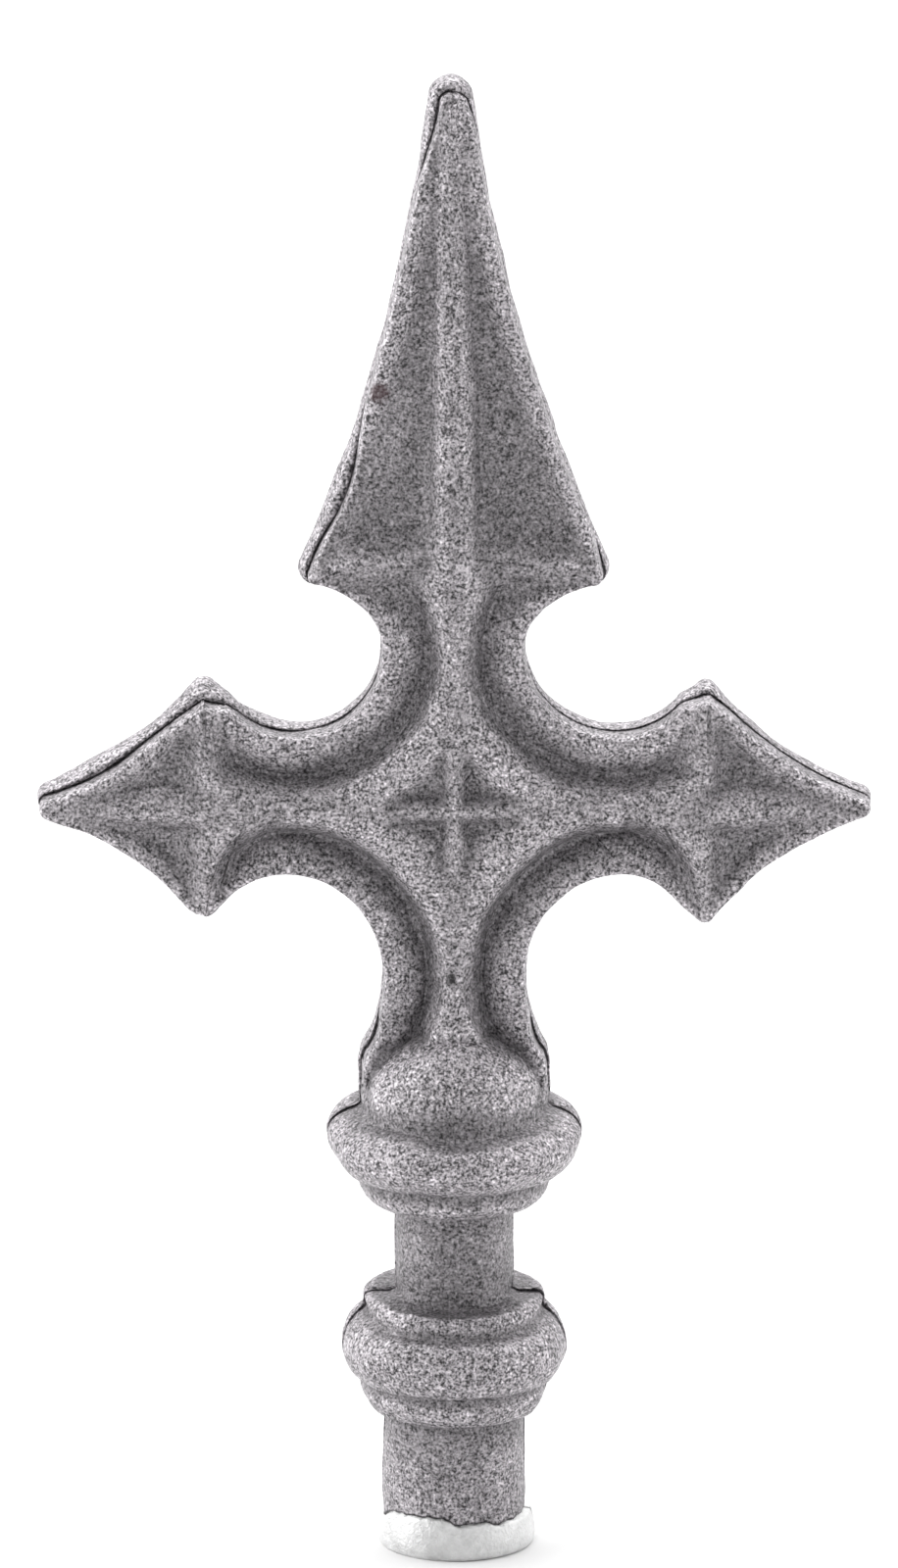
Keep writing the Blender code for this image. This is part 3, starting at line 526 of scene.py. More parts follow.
def relief(x, z, edge):
    """Half thickness of the head at (x, z), where edge is the distance from the outline: panels that fall
    from the rim, channels that fall to an oval round each notch and rise beyond it at an even slope, the
    dish with its cross, and over them the larger of each ridge's height."""
    rise = np.abs(z - ARM_AXIS)
    rim_share = np.clip((edge - EDGE_ROUND) / (RIM_WIDTH - EDGE_ROUND), 0, 1)
    rim = RIM - (RIM - TIP_RIM) * np.clip((z - TIP_TAPER_Z) / (HEIGHT - TIP_TAPER_Z), 0, 1)
    panel = rim - (rim - PANEL) * rim_share * rim_share * (3 - 2 * rim_share)

    # Channels round the notches, and the ridges between them
    crease_fall = np.where(z > UPPER_CREASE_Z, UPPER_CREASE, UPPER_CREASE_FALL)
    upper = beyond_oval(x, z, UPPER_CREASE_X, UPPER_CREASE_Z, UPPER_CREASE, crease_fall)
    crease_rise = np.where(z > HOLLOW_Z, LOWER_CREASE_RISE, LOWER_CREASE_FALL)
    crease_half = np.where(x > HOLLOW_X, LOWER_CREASE_OUTER, LOWER_CREASE_X)
    lower = beyond_oval(x, z, HOLLOW_X, HOLLOW_Z, crease_half, crease_rise)
    outside = np.minimum(upper, lower)
    across = np.clip((edge - EDGE_ROUND) / np.maximum(edge - EDGE_ROUND - outside, 0.1 * MM), 0, 1)
    arm_share = np.clip((x - DISH_HALF_X) / (BARB_ROOT_X - DISH_HALF_X), 0, 1)
    flare = np.clip((z - UPPER_CREASE_Z) / (BLADE_FOOT - UPPER_CREASE_Z), 0, 1)
    fan = STEM_FAN * np.clip((STEM_FAN_Z - z) / (STEM_FAN_Z - STEM_FOOT_Z), 0, 1) ** 3
    crest = RIDGE - (RIDGE - BARB_ROOT_RIDGE) * arm_share - FOOT_FLANK * flare * softened(x - RIB_HALF) + fan
    crease = smooth_min(CREASE, crest, CREST_BLEND)
    channel = RIM - (RIM - crease) * across ** (1.5 - 0.6 * flare)
    body = np.where(outside > 0, smooth_min(CREASE + FLANK * outside, crest, CREST_BLEND), channel)
    body = body - CREASE_GROOVE * np.exp(-((lower / CREASE_GROOVE_HALF) ** 2))

    # Crossing
    size = x / DISH_HALF_X + rise / DISH_HALF_Z
    wall = np.clip((1 - size) / DISH_WALL, 0, 1)
    low = arc_share((ARM_AXIS - DISH_LOW_DROP - z) / DISH_LOW_RUN)
    dish = RIDGE - DISH_DEPTH * (1 - DISH_LOW * low) * wall * (2 - wall)
    cross = RIDGE - CROSS_DROP - FLANK * (softened(np.minimum(x, rise) - CROSS_HALF) - softened(-CROSS_HALF))
    body = np.minimum(body, smooth_max(dish, cross, CROSS_BLEND))

    # Blade, arrowheads and the ridges that edge them
    flank = FOOT_FLANK + (FLANK - FOOT_FLANK) * np.clip((z - BLADE_FOOT) / FLANK_RUN, 0, 1)
    rib = ridge(x, z, (0, BLADE_FOOT), (0, HEIGHT), (RIDGE, TIP_RIDGE), (RIB_HALF, TIP_RIB_HALF), flank)
    arm_rib = ridge(x, rise, (ARM_RIB_START, 0), (ARM_TIP_X, 0), (BARB_ROOT_RIDGE, ARM_TIP_RIDGE),
                    (ARM_RIB_HALF, ARM_TIP_RIB_HALF), ARM_FLANK)
    barb_line = np.interp(rise, [0, BARB_KNEE_RISE, BARB_RISE], [BARB_ROOT_X, BARB_KNEE_X, BARB_X])
    arrow_share = arc_share((x - barb_line) / REGION_RUN + 0.5)
    height = body + (smooth_max(panel, arm_rib, SOFT_BLEND) - body) * arrow_share
    blade_share = arc_share((z - BLADE_FOOT) / REGION_RUN + 0.5)
    height = height + (smooth_max(panel, rib, SOFT_BLEND) - height) * blade_share
    foot_rim = ridge(x, z, (0, FOOT_RIM_MIDDLE_Z), (CORNER_X, FOOT_RIM_CORNER_Z), (FOOT_RIM_RIDGE, RIM),
                     (FOOT_RIM_HALF, FOOT_RIM_HALF), FOOT_RIM_FLANK)
    knee = (BARB_KNEE_X, BARB_KNEE_RISE)
    barb = ridge(x, rise, (BARB_X, BARB_RISE), knee, (BARB_RIDGE, BARB_KNEE_RIDGE),
                 (BARB_HALF, BARB_KNEE_HALF), BARB_FLANK)
    root = ridge(x, rise, knee, (BARB_ROOT_X, 0), (BARB_KNEE_RIDGE, BARB_ROOT_RIDGE),
                 (BARB_KNEE_HALF, BARB_ROOT_HALF), BARB_FLANK)
    height = smooth_max(smooth_max(height, foot_rim, FOOT_RIM_BLEND), np.maximum(barb, root), SOFT_BLEND)
    return height * edge_share(edge)


def carving(x, z, edge):
    """Half thickness of the head with its finest lines: the relief less two shallow grooves, one down the
    foot of the blade's rib and one along the thin rib across the dish, each a bell curve across its line."""
    down = np.exp(-((x / GROOVE_HALF) ** 2)) * np.clip((GROOVE_TOP - z) / GROOVE_RUN, 0, 1)
    down = RIB_GROOVE * down * np.clip((z - BLADE_FOOT) / REGION_RUN, 0, 1)
    across = np.exp(-(((z - ARM_AXIS) / CROSS_GROOVE_HALF) ** 2))
    across = across * np.clip((DISH_HALF_X - x) / REGION_RUN, 0, 1)
    return relief(x, z, edge) - down - CROSS_GROOVE * across


def outward(line):
    """Unit vectors that point out of the casting, square to the line between the neighbours of each
    point."""
    ahead = np.roll(line, -1, 0) - np.roll(line, 1, 0)
    ahead[0] = (1, 0)
    ahead[-1] = line[-1] - line[-2]
    return np.column_stack([-ahead[:, 1], ahead[:, 0]]) / np.linalg.norm(ahead, axis=1)[:, None]


def swell(line, side, grown):
    """How far the casting is swollen along its outline: bell curves about set places. grown is 0 for how far
    the rear half grows and 1 for how far the front half shrinks."""
    away = np.hypot(side * line[:, :1] - SWELLS[:, 0], line[:, 1:] - SWELLS[:, 1])
    return (np.exp(-((away / SWELLS[:, 2]) ** 2)) * SWELLS[:, 3 + grown]).sum(1)


def ledge_width(line, normal, side):
    """How far the front half stands back at each outline point: an even amount, plus a shift to the left and
    up times the outward direction, plus more at the tip. Down the turned foot it is an even small amount,
    more where it faces up. At the cut end it is the least."""
    across, up = side * normal[:, 0], normal[:, 1]
    width = LEDGE - SHIFT_LEFT * across + SHIFT_UP * up
    tip = arc_share((line[:, 1] - TIP_LEDGE_Z) / TIP_LEDGE_RUN) * np.clip(0.6 - 0.6 * across + 0.6 * up, 0, 1)
    turned = TURNED_LEDGE * (1 + TURNED_UP * np.clip(up, 0, 1))
    width = np.where(line[:, 1] < JOIN_Z, turned, width) + TIP_LEDGE * tip
    width = np.maximum(width + swell(line, side, 0) + swell(line, side, 1), LEAST_LEDGE)
    return LEAST_LEDGE + (width - LEAST_LEDGE) * arc_share(line[:, 1] / BARE_TOP - 1)


def head_plane(outline, normal, facing, square, split):
    """Rows of points over half the head, in its plane. From each outline point a run leaves square to the
    edge and ends on the ridge line, as a quadratic curve. Each gap between the rows along it is split
    evenly."""
    control = outline - normal * square[:, None]
    t = np.linspace(0, 1, 161)

    def curve(t):
        """The runs at shares t of their courses."""
        t = t[..., None]
        return (1 - t) ** 2 * outline[:, None] + 2 * t * (1 - t) * control[:, None] + t * t * facing[:, None]

    run = curve(np.broadcast_to(t, (len(outline), len(t))))
    along = np.cumsum(np.linalg.norm(np.diff(run, axis=1, prepend=run[:, :1]), axis=2), axis=1)
    blade = np.interp(outline[:, 1], [NOTCH_Z + 6 * MM, CORNER_Z], [0, 1])
    arrowhead = np.interp(outline[:, 0], [BARB_ROOT_X, ARROW_FOOT_X], [0, 1])
    places = row_places(run, along, np.maximum(blade, arrowhead))
    count = places.shape[1] - 1
    finer = np.linspace(0, count, split * count + 1)
    low = np.minimum(finer.astype(int), count - 1)
    places = places[:, low] + (places[:, low + 1] - places[:, low]) * (finer - low)
    apart = np.arange(len(outline))[:, None]
    share = np.interp((places + apart).ravel(), (along + apart).ravel(), np.tile(t, len(outline)))
    return curve(share.reshape(places.shape))


def border_height(side, turn, half):
    """Height of the bare foot's border at angles from the front or back axis to the seam, with fine ragged
    waves. half is -1 for the front."""
    front = np.interp(np.degrees(side * turn), BORDER_ANGLES, BORDER_HEIGHTS) * MM
    seam = np.interp(90 * side, BORDER_ANGLES, BORDER_HEIGHTS) * MM
    back = BORDER_BACK + (seam - BORDER_BACK) * arc_share((turn - 1.0) / 0.5)
    ring = BORDER_RADIUS * np.stack([side * np.sin(turn), half * np.cos(turn), 0 * turn], axis=-1)
    ragged = sum(height * ripple(ring, size, seed) for height, size, seed in BORDER_WAVES)
    return np.where(half < 0, front, back) + ragged


def foot_stations():
    """The turned foot from the head down, as rows of radius, stem half width, share of the border's height
    and height: the dome where the stem runs into it, the collars and neck as arcs, then the shank, its
    border and its cut end."""
    right = np.pi / 2
    upper_middle = (UPPER_RING_X, UPPER_RING_Z)
    lower_middle = (LOWER_RING_X, LOWER_RING_Z)
    upper_turn = np.arccos((DOME_RADIUS - UPPER_RING_X) / UPPER_RING_WIDTH)
    cap_turn = np.arccos((CAP_RADIUS - LOWER_RING_X) / LOWER_RING_WIDTH)
    lower_turn = np.arccos((DOME_RADIUS - LOWER_RING_X) / LOWER_RING_WIDTH)
    dome_turn = np.linspace(right, 0, 31)[:-1]
    dome = np.column_stack([DOME_RADIUS * np.cos(dome_turn), DOME_Z + DOME_RISE * np.sin(dome_turn)])
    above = [(0, z) for z in np.linspace(JOIN_Z, DOME_Z + DOME_RISE, 5)[1:-1]]
    dome = np.vstack([above, dome])
    flare_foot = HOLLOW_Z - FLARE_RADIUS * np.sin(FLARE_SWEEP)
    fall = HOLLOW_Z - np.maximum(dome[:, 1], flare_foot)
    flare = STEM_HALF + FLARE_RADIUS - np.sqrt(FLARE_RADIUS ** 2 - fall ** 2)
    flare += (STEM_FOOT_HALF - flare) * np.clip((flare_foot - dome[:, 1]) / (flare_foot - STEM_FOOT_Z), 0, 1)
    collars = np.vstack([
        arc(*upper_middle, UPPER_RING_WIDTH, UPPER_RING_RISE, upper_turn, 0, 3),
        arc(*upper_middle, UPPER_RING_WIDTH, UPPER_RING_FALL, 0, -upper_turn, 4),
        arc(NECK_RADIUS, UPPER_BEAD_Z, DOME_RADIUS - NECK_RADIUS, UPPER_BEAD_FALL, 0, -right, 3),
        straight((NECK_RADIUS, UPPER_BEAD_Z - UPPER_BEAD_FALL), (NECK_RADIUS, CAP_TOP_Z), 10),
        straight((NECK_RADIUS, CAP_TOP_Z), (CAP_RADIUS - CAP_ROUND, CAP_TOP_Z), 4),
        arc(CAP_RADIUS - CAP_ROUND, CAP_TOP_Z - CAP_ROUND, CAP_ROUND, CAP_ROUND, right, 0, 2),
        arc(*lower_middle, LOWER_RING_WIDTH, LOWER_RING_RISE, cap_turn, 0, 3),
        arc(*lower_middle, LOWER_RING_WIDTH, LOWER_RING_FALL, 0, -lower_turn, 3),
        arc(SHANK_RADIUS, LOWER_BEAD_Z, DOME_RADIUS - SHANK_RADIUS, LOWER_BEAD_FALL, 0, -right, 3),
    ])
    top = LOWER_BEAD_Z - LOWER_BEAD_FALL
    shank = [(SHANK_RADIUS, 0, share, top * (1 - share)) for share in np.linspace(0, 0.94, 18)]
    return np.vstack([
        np.column_stack([dome[:, 0], flare, 0 * flare, dome[:, 1]]),
        np.column_stack([collars[:, 0], 0 * collars[:, 0], 0 * collars[:, 0], collars[:, 1]]),
        shank,
        [(radius * MM, 0, share, z * MM) for radius, share, z in BARE_FOOT],
    ])


def half_casting(side, half, line, normal, inset, lip, split):
    """Points of the front half (-1) or rear half (1) of one side, in rows from the seam to the ridge line.
    Over the head they lie at its carved depth, with the rim cut down to the panel where the ledge is wide.
    Below it they lie on circles of the turned foot, which take over from the stem where they pass it."""
    count = len(head_line)
    edge_line = line - normal * inset[:, None]
    plane = head_plane(edge_line[:count], normal[:count], head_facing, head_square, split)
    edge = np.stack([edge_distance(plane[:, i], edge_line) for i in range(plane.shape[1])], axis=1)
    edge[:, 0] = 0
    sink = lip * (1 - edge_share(edge))
    raised_rim = 1 - arc_share((edge - EDGE_ROUND) / (RIM_WIDTH - EDGE_ROUND))
    cut = (RIM - PANEL) * arc_share(inset[:count] / CUT_LEDGE)
    cut = cut * arc_share((edge_line[:count, 1] - BLADE_FOOT) / CUT_RUN)
    sink = sink - cut[:, None] * raised_rim * edge_share(edge)
    depth = carving(plane[:, :, 0], plane[:, :, 1], edge) + sink
    head = np.stack([plane[:, :, 0], half * depth, plane[:, :, 1]], axis=2)

    # Angles round the foot: at the join those of the head's last row, further down evenly spread
    radius, stem, share, rise = foot_line.T
    stem = np.maximum(stem - inset[count:], 0)[:, None]
    own = np.arctan2(head[-1, :, 0], depth[-1])
    own = np.maximum.accumulate(own[::-1] + 1e-4 * np.arange(len(own)))[::-1]
    top = np.arccos(np.clip(lip / np.maximum(radius, lip), 0, 1))[:, None]
    even = arc_share((DOME_Z + DOME_RISE - rise) / (DOME_RISE * 1.1))[:, None]
    turn = (1 - even) * own + even * top * np.linspace(1, 0, len(own))
    ease = inset[count:, None] * arc_share((turn - 0.9) / 0.55)
    height = share[:, None] * border_height(side, turn, half) + rise[:, None]
    eased = np.maximum(radius[:, None] - normal[count:, :1] * ease, 0)
    round_x = eased * np.sin(turn)
    round_y = eased * np.cos(turn)

    # The stem's carving, carried on down, and how far the circles have taken over from it
    stem_x = head[-1, :, 0] / head[-1, 0, 0] * stem
    away = 0.95 * (stem - stem_x)
    sink = lip * (1 - edge_share(away))
    stem_y = np.where(stem > 0, relief(stem_x, height, away) + sink, 0)
    over = arc_share((radius[:, None] - np.hypot(stem_x, stem_y) + JOIN_SOFT) / (2 * JOIN_SOFT))
    over = np.where(stem > 0, over, 1)
    foot = np.stack([
        stem_x + (round_x - stem_x) * over,
        half * (stem_y + (round_y - stem_y) * over),
        height - normal[count:, 1:] * ease * (radius[:, None] > 0),
    ], axis=2)
    return np.vstack([head, foot])


def seam_rows(line, normal, ledge):
    """Points of the seam of one side between the lips of its halves: into the crevice, out of it, and round
    the lip of the rear half, which is a quarter of an oval. A narrow ledge's crevice looks outwards, a wide
    ledge's forwards. Up the sides of the blade the crevice is nearly closed."""
    wide = arc_share(ledge / WIDE_LEDGE)
    closed = arc_share((line[:, 1] - CLOSED_FOOT_Z) / CLOSED_FOOT_RUN)
    closed = closed * arc_share((CLOSED_TOP_Z - line[:, 1]) / CLOSED_TOP_RUN)
    uneven = np.clip(0.7 + 0.5 * ripple(np.column_stack([line, 0 * ledge]), 9 * MM, 5), 0.2, 1.2)
    depth = CREVICE_DEPTH * (1 - 0.85 * closed) * uneven
    crevice = CREVICE * (1 - 0.8 * closed) * (wide + 0.4 * arc_share(ledge / CREVICE_LEDGE))
    start = np.maximum(ledge - crevice, 0)
    lip_y = LIP_DROP * (1 - 2 * wide) - LIP_BULGE * arc_share(ledge / BULGE_LEDGE)
    narrow = 1 - wide
    rows = [(ledge + LIP_OUT * narrow + LIP_FOLD * wide, depth * wide - LIP_FOLD * narrow),
            (start + LIP_OUT * narrow, depth * wide + LIP_FOLD * narrow), (start, lip_y)]
    rounded = np.where(line[:, 1] > BLADE_FOOT, np.minimum(start, BLADE_LIP_ROUND), start)
    for turn in (np.pi / 6 * rounded / np.maximum(start, CREVICE), np.pi / 3):
        rows.append((rounded * (1 - np.sin(turn)), lip_y + (REAR_LIP - lip_y) * (1 - np.cos(turn))))
    seam = []
    for inset, y in rows:
        place = line - normal * inset[:, None]
        seam.append(np.column_stack([place[:, 0], y, place[:, 1]]))
    return np.stack(seam, axis=1)


def casting_side(side):
    """The grid of points of one side (1 right, -1 left), from the front ridge line round the seam to the
    back one, and how far below the border of the bare foot each point lies."""
    border = border_height(side, np.array([np.pi / 2]), -1)[0]
    radius, stem, share, rise = foot_line.T
    foot = np.column_stack([np.maximum(radius, stem), share * border + rise])
    line = np.vstack([head_line, foot])
    normal = outward(line)
    rear_line = line + normal * swell(line, side, 0)[:, None]
    ledge = ledge_width(line, normal, side)
    flat_end = line[:, 1] < 1 * MM
    ledge = np.where(flat_end, np.minimum(ledge, 0.3 * line[:, 0]), ledge)
    front = half_casting(side, -1, rear_line, normal, ledge, FRONT_LIP, 4)
    rear = half_casting(side, 1, rear_line, normal, 0 * ledge, REAR_LIP, 2)
    seam = seam_rows(rear_line, normal, ledge)
    grid = np.concatenate([front[:, ::-1], seam, rear], axis=1)
    grid[-1] = 0
    below = np.full(len(line), -MM)
    below[len(head_line):] = np.where(share == 1, -rise, np.where(foot[:, 1] < border, MM, -MM))
    return grid, np.repeat(below[:, None], grid.shape[1], axis=1)


def raised(mesh, places, normals):
    """How far each point stands above the mean of its surroundings, less than zero in hollows: the points
    are moved to the means of themselves and their neighbours, many times over, and their way back is
    measured along the normals."""
    ends = np.empty(len(mesh.edges) * 2, int)
    mesh.edges.foreach_get("vertices", ends)
    first, last = ends.reshape(-1, 2).T
    count = 1 + np.bincount(first, minlength=len(places)) + np.bincount(last, minlength=len(places))
    height = np.zeros(len(places))
    for axis in range(3):
        mean = places[:, axis].copy()
        for _ in range(SMOOTHINGS):
            near = np.bincount(first, mean[last], len(places)) + np.bincount(last, mean[first], len(places))
            mean = (mean + near) / count
        height += (places[:, axis] - mean) * normals[:, axis]
    return height


def worn(places, normals):
    """The points of the smooth casting as the mould and wear left them. They move along their normals by two
    uneven waves, by dents, which are bell curves of the distance from their middles, and by grooves, which
    are bell curves of the height. Then they go down at the front where the collars sag, by bell curves of
    the height."""
    wave = sum(height * ripple(places, size, seed) for height, size, seed in SKIN_WAVES)
    wave = wave * np.clip(places[:, 2] / FLAT_FOOT, 0, 1)
    away = np.linalg.norm((places[:, None] - DENTS[:, :3]) / DENTS[:, 3:6], axis=2)
    wave = wave - np.exp(-(away ** 2)) @ DENTS[:, 6]
    wave = wave - np.exp(-(((places[:, 2:] - GROOVES[:, 0]) / GROOVES[:, 1]) ** 2)) @ GROOVES[:, 2]
    places = places + normals * wave[:, None]
    front = np.clip(-places[:, 1] / NECK_RADIUS, 0, 1) ** 2
    places[:, 2] -= front * (np.exp(-(((places[:, 2:] - SAGS[:, 0]) / SAGS[:, 1]) ** 2)) @ SAGS[:, 2])
    return places


def make_casting(name):
    """Both sides of the casting as one closed mesh: each side's grid of quads, joined where they meet, with
    the tip bent to the left and the bare ring shifted to the right, and then worn. Two values are kept on
    its points: how far each lies below the border of the bare foot, and how far it stands above its
    surroundings."""
    right, right_level = casting_side(1)
    left, left_level = casting_side(-1)
    # On the middle plane both sides have the same points
    for column in (0, -1):
        middle = right[:, column, 0] < 0.01 * MM
        mean = 0.5 * (right[middle, column] + left[middle, column])
        right[middle, column] = mean
        left[middle, column] = mean
    left = left * (-1, 1, 1)
    rows, columns = right.shape[:2]
    index = np.arange(rows * columns).reshape(rows, columns)
    a, b, c, d = index[:-1, :-1], index[:-1, 1:], index[1:, 1:], index[1:, :-1]
    quads = np.stack([a, d, c, b], axis=2).reshape(-1, 4)
    quads = np.vstack([quads, quads[:, ::-1] + rows * columns])
    places = np.vstack([right.reshape(-1, 3), left.reshape(-1, 3)])
    level = np.concatenate([right_level.ravel(), left_level.ravel()])
    _, first, merged = np.unique(np.round(places / DOUBLES).astype(int), axis=0, return_index=True,
                                 return_inverse=True)
    places, level, quads = places[first], level[first], merged.ravel()[quads]
    places[:, 0] -= BEND * arc_share((places[:, 2] - BEND_START) / BEND_RUN)
    places[:, 0] += RING_SHIFT * arc_share(level / (0.3 * MM)) * arc_share(places[:, 2] / (0.2 * MM))

    mesh = bpy.data.meshes.new(name)
    faces = [tuple(dict.fromkeys(quad)) for quad in quads.tolist()]
    mesh.from_pydata(places.tolist(), [], [face for face in faces if len(face) > 2])
    mesh.validate()
    shape = bmesh.new()
    shape.from_mesh(mesh)
    bmesh.ops.recalc_face_normals(shape, faces=shape.faces)
    shape.to_mesh(mesh)
    shape.free()
    normals = np.empty(len(mesh.vertices) * 3)
    mesh.vertices.foreach_get("normal", normals)
    normals = normals.reshape(-1, 3)
    places = worn(places, normals)
    mesh.vertices.foreach_set("co", places.ravel())
    bare = mesh.attributes.new("bare", "FLOAT", "POINT")
    bare.data.foreach_set("value", level / MM)
    above = mesh.attributes.new("raised", "FLOAT", "POINT")
    above.data.foreach_set("value", raised(mesh, places, normals) / MM)
    mesh.polygons.foreach_set("use_smooth", np.ones(len(mesh.polygons), bool))
    mesh.update()
    casting = bpy.data.objects.new(name, mesh)
    bpy.context.scene.collection.objects.link(casting)
    return casting


head_line, head_facing, head_square = head_stations()
foot_line = foot_stations()
casting = make_casting("spear_point_casting")


class Wire:
    """An output of a material's nodes. Python sums on it become Math nodes."""

    def __init__(self, tree, socket):
        self.tree = tree
        self.socket = socket

    def node(self, kind, settings, values, output=0):
        """The output of a new node of this kind, with its settings, and with wires or plain values on its
        inputs."""
        made = self.tree.nodes.new(kind)
        for name, value in settings.items():
            setattr(made, name, value)
        for name, value in values.items():
            if isinstance(value, Wire):
                self.tree.links.new(value.socket, made.inputs[name])
            else:
                made.inputs[name].default_value = value
        return Wire(self.tree, made.outputs[output])

    def sum(self, operation, first, second):
        """The result of one Math node's operation on two values."""
        return self.node("ShaderNodeMath", {"operation": operation}, {0: first, 1: second})

    def __add__(self, other):
        return self.sum("ADD", self, other)

    def __radd__(self, other):
        return self.sum("ADD", other, self)

    def __sub__(self, other):
        return self.sum("SUBTRACT", self, other)

    def __rsub__(self, other):
        return self.sum("SUBTRACT", other, self)

    def __mul__(self, other):
        return self.sum("MULTIPLY", self, other)

    def __rmul__(self, other):
        return self.sum("MULTIPLY", other, self)

    def noise(self, size, detail=1.0):
        """Noise from 0 to 1 with grains of this size, in metres, over the coordinates on this wire."""
        values = {"Vector": self, "Scale": 1 / size, "Detail": detail, "Roughness": 0.6}
        return self.node("ShaderNodeTexNoise", {}, values, "Fac")

    def step(self, low, high):
        """0 below low and 1 above high, with a smooth rise between."""
        values = {"Value": self, "From Min": low, "From Max": high}
        return self.node("ShaderNodeMapRange", {"interpolation_type": "SMOOTHSTEP"}, values)

    def held(self, low, high):
        """This wire's value, held between low and high."""
        return self.node("ShaderNodeClamp", {}, {"Value": self, "Min": low, "Max": high})

    def mix(self, first, second):
        """The first colour where this wire is 0 and the second where it is 1."""
        return self.node("ShaderNodeMix", {"data_type": "RGBA"}, {0: self, 6: first, 7: second}, 2)


def new_material(name, roughness, metallic):
    """A material with these constants, its shader node, and a wire of the object's own coordinates."""
    material = bpy.data.materials.new(name)
    material.use_nodes = True
    tree = material.node_tree
    shader = tree.nodes["Principled BSDF"]
    shader.inputs["Roughness"].default_value = roughness
    shader.inputs["Metallic"].default_value = metallic
    coordinates = Wire(tree, tree.nodes.new("ShaderNodeTexCoord").outputs["Object"])
    return material, shader, coordinates


# Finish: cast and blasted iron. The grey skin is full of the sand's grain, with bright specks. It is lighter
# where it is raised, partly worn and partly painted highlight, and darker in hollows, which is painted shade.
# The foot ring is brushed bare, and a dark band of painted shade lies along the skin's lip at its border.
BLACK = (0.0, 0.0, 0.0, 1.0)
SKIN_TINT = (1.0, 0.945, 0.995, 1.0)
BRUSHED = (1.0, 1.0, 1.0, 1.0)
RUST = (0.05, 0.02, 0.024, 1.0)
SOOT = (0.02, 0.02, 0.02, 1.0)

iron, iron_shader, spot = new_material("cast_iron", 0.5, 0.5)
grain = spot.noise(0.37 * MM, 2.0)
grit = spot.noise(1.0 * MM, 2.0)
patches = spot.noise(4.5 * MM, 2.0)
cloud = spot.noise(22 * MM)
above = spot.node("ShaderNodeAttribute", {"attribute_name": "raised"}, {}, "Fac")
high = above.step(-0.03, 0.36)
border = spot.node("ShaderNodeAttribute", {"attribute_name": "bare"}, {}, "Fac")
bare = (border + 0.3 * (grit - 0.5)).step(-0.05, 0.1)
# Painted shade: a dark band along the skin's lip, just above the border of the bare foot
painted_lip_shade = (border + 0.3 * (grit - 0.5)).step(-0.5, -0.15)
# Lighter on raised places, partly wear and partly painted highlight, and darker in hollows and in the band
# along the lip, both painted shade
wear_and_painted_light = (1.07 + 0.3 * high - 0.28 * (0 - above).step(0.0, 0.4)) * (1 - 0.75 * painted_lip_shade)
sand = (1 + (4.8 + 1.4 * high) * (grain - 0.5) + 1.9 * (grit - 0.5)).held(0.12, 3.4)
tone = (0.219 + 0.1 * (patches - 0.5) + 0.06 * (cloud - 0.5)) * wear_and_painted_light * sand
specks = (0.12 + 0.16 * high) * spot.noise(0.5 * MM, 0.0).step(0.68, 0.78)
skin = (tone + specks).mix(BLACK, SKIN_TINT)
brush = (0.68 + 0.5 * (patches - 0.5) + 0.3 * (grit - 0.5)).mix(BLACK, BRUSHED)

# A spot of rust in the pit and soot in the nick, each with an uneven border
from_pit = spot.node("ShaderNodeVectorMath", {"operation": "DISTANCE"}, {0: spot, 1: PIT}, "Value")
from_nick = spot.node("ShaderNodeVectorMath", {"operation": "DISTANCE"}, {0: spot, 1: NICK}, "Value")
rust = 1 - (from_pit + 1.2 * MM * (grit - 0.5)).step(0.7 * MM, 1.8 * MM)
soot = 1 - (from_nick + 1.2 * MM * (grit - 0.5)).step(0.3 * MM, 1.0 * MM)
skin = (0.75 * rust).mix(skin, RUST)
skin = (0.8 * soot).mix(skin, SOOT)

colour = bare.mix(skin, brush)
iron.node_tree.links.new(colour.socket, iron_shader.inputs["Base Color"])
rough = 0.5 + 0.25 * (grit - 0.5)
iron.node_tree.links.new(rough.socket, iron_shader.inputs["Roughness"])
bump_values = {"Height": grain + grit, "Strength": 0.7, "Distance": 0.25 * MM}
bump = spot.node("ShaderNodeBump", {}, bump_values, "Normal")
iron.node_tree.links.new(bump.socket, iron_shader.inputs["Normal"])
casting.data.materials.append(iron)

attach(casting, "root")
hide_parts("spear_point")

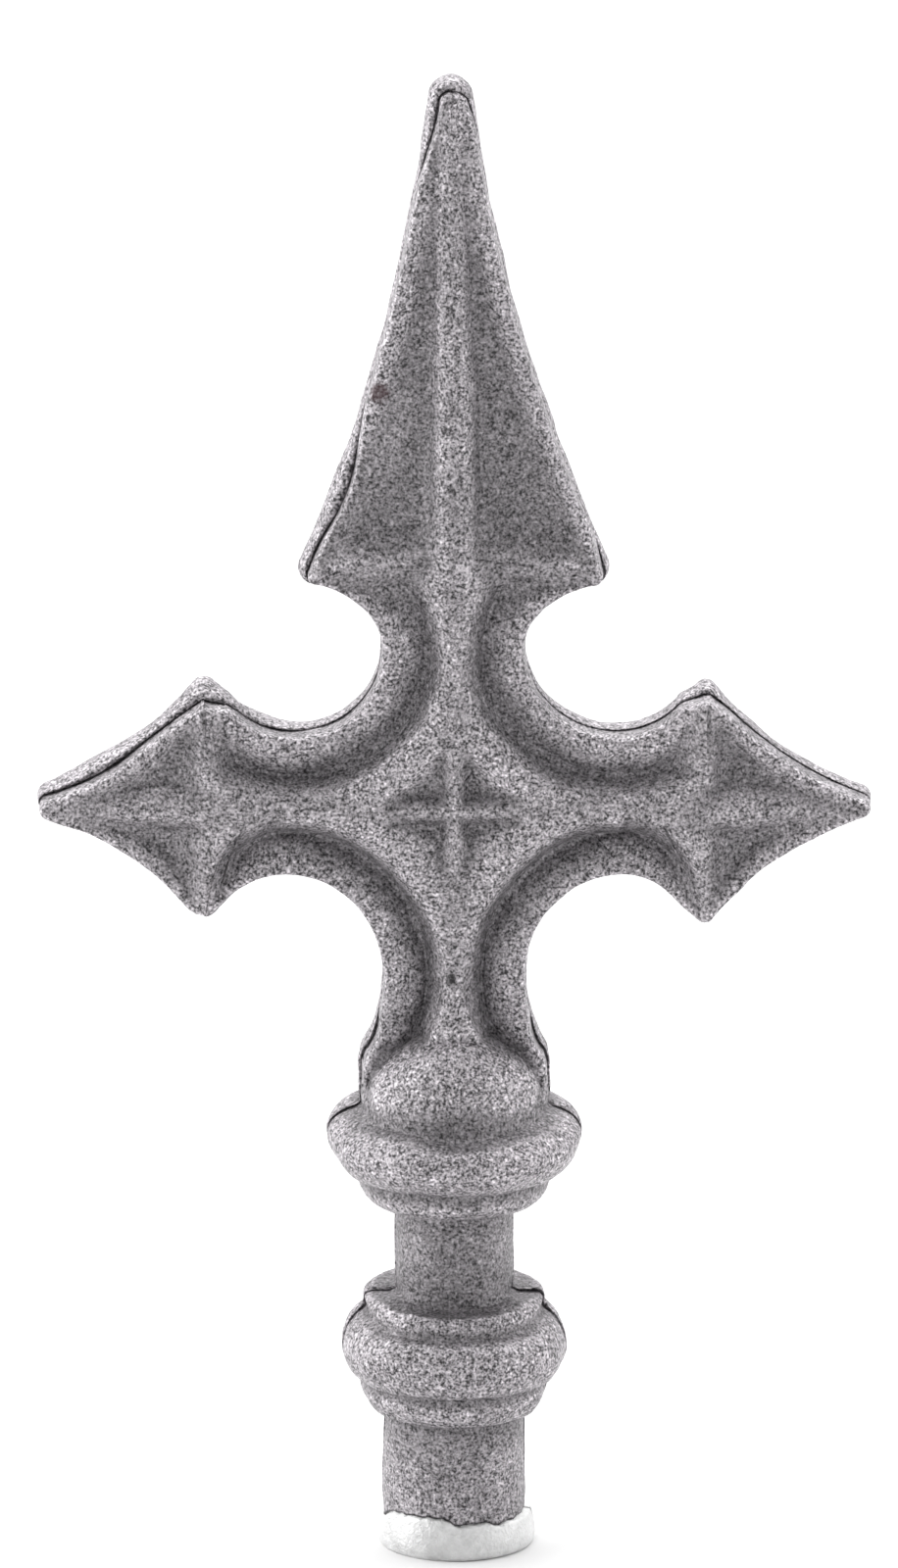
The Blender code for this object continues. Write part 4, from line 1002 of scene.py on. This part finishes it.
# Studio: a plain pale floor of matt paper, a wide softbox low on each side, a broad soft light overhead, and
# an even dim room.
FLOOR_HALF = 6.0
FLOOR_PAPER = (0.75, 0.75, 0.75, 1.0)
floor_mesh = bpy.data.meshes.new("floor")
corners = [(FLOOR_HALF * x, FLOOR_HALF * y, 0) for x, y in ((-1, -1), (1, -1), (1, 1), (-1, 1))]
floor_mesh.from_pydata(corners, [], [(0, 1, 2, 3)])
floor = bpy.data.objects.new("floor", floor_mesh)
bpy.context.scene.collection.objects.link(floor)
paper, paper_shader, _ = new_material("floor_paper", 1.0, 0.0)
paper_shader.inputs["Base Color"].default_value = FLOOR_PAPER
floor_mesh.materials.append(paper)


def softbox(name, place, target, size, radiance):
    """A square light at a place, turned to a target. Its power is its face's brightness times its area times
    pi."""
    light = bpy.data.lights.new(name, "AREA")
    light.size = size
    light.energy = radiance * np.pi * size * size
    lamp = bpy.data.objects.new(name, light)
    lamp.location = place
    way = Vector(target) - Vector(place)
    lamp.rotation_euler = way.to_track_quat("-Z", "Y").to_euler()
    bpy.context.scene.collection.objects.link(lamp)


MIDDLE = (0, 0, HEIGHT / 2)
softbox("left softbox", (-1.0, 0.05, 0.3), MIDDLE, 1.2, 2.9)
softbox("right softbox", (1.0, 0.05, 0.3), MIDDLE, 1.2, 1.6)
ceiling = bpy.data.lights.new("ceiling", "SUN")
ceiling.energy = 4.2
ceiling.angle = np.radians(90.0)
ceiling_lamp = bpy.data.objects.new("ceiling", ceiling)
ceiling_lamp.rotation_euler = (-np.radians(25.0), 0, 0)
bpy.context.scene.collection.objects.link(ceiling_lamp)

world = bpy.data.worlds.new("room")
world.use_nodes = True
room = world.node_tree.nodes["Background"]
room.inputs["Color"].default_value = (1.0, 1.0, 1.0, 1.0)
room.inputs["Strength"].default_value = 0.4
bpy.context.scene.world = world
bpy.context.scene.view_settings.view_transform = "Standard"

# Camera: 1.3 m away and 14 degrees above the middle of the point, with a long lens
CAMERA_TURN = np.radians(14.0)
CAMERA_DISTANCE = 1.3
AIM = Vector((-0.7 * MM, 0, 105.04 * MM))
lens = bpy.data.cameras.new("camera")
lens.sensor_fit = "VERTICAL"
lens.sensor_height = 36.0
lens.lens = 225.0
lens.clip_end = 30.0
camera = bpy.data.objects.new("camera", lens)
camera.location = AIM + CAMERA_DISTANCE * Vector((0, -np.cos(CAMERA_TURN), np.sin(CAMERA_TURN)))
camera.rotation_euler = (np.pi / 2 - CAMERA_TURN, 0, 0)
bpy.context.scene.collection.objects.link(camera)
bpy.context.scene.camera = camera
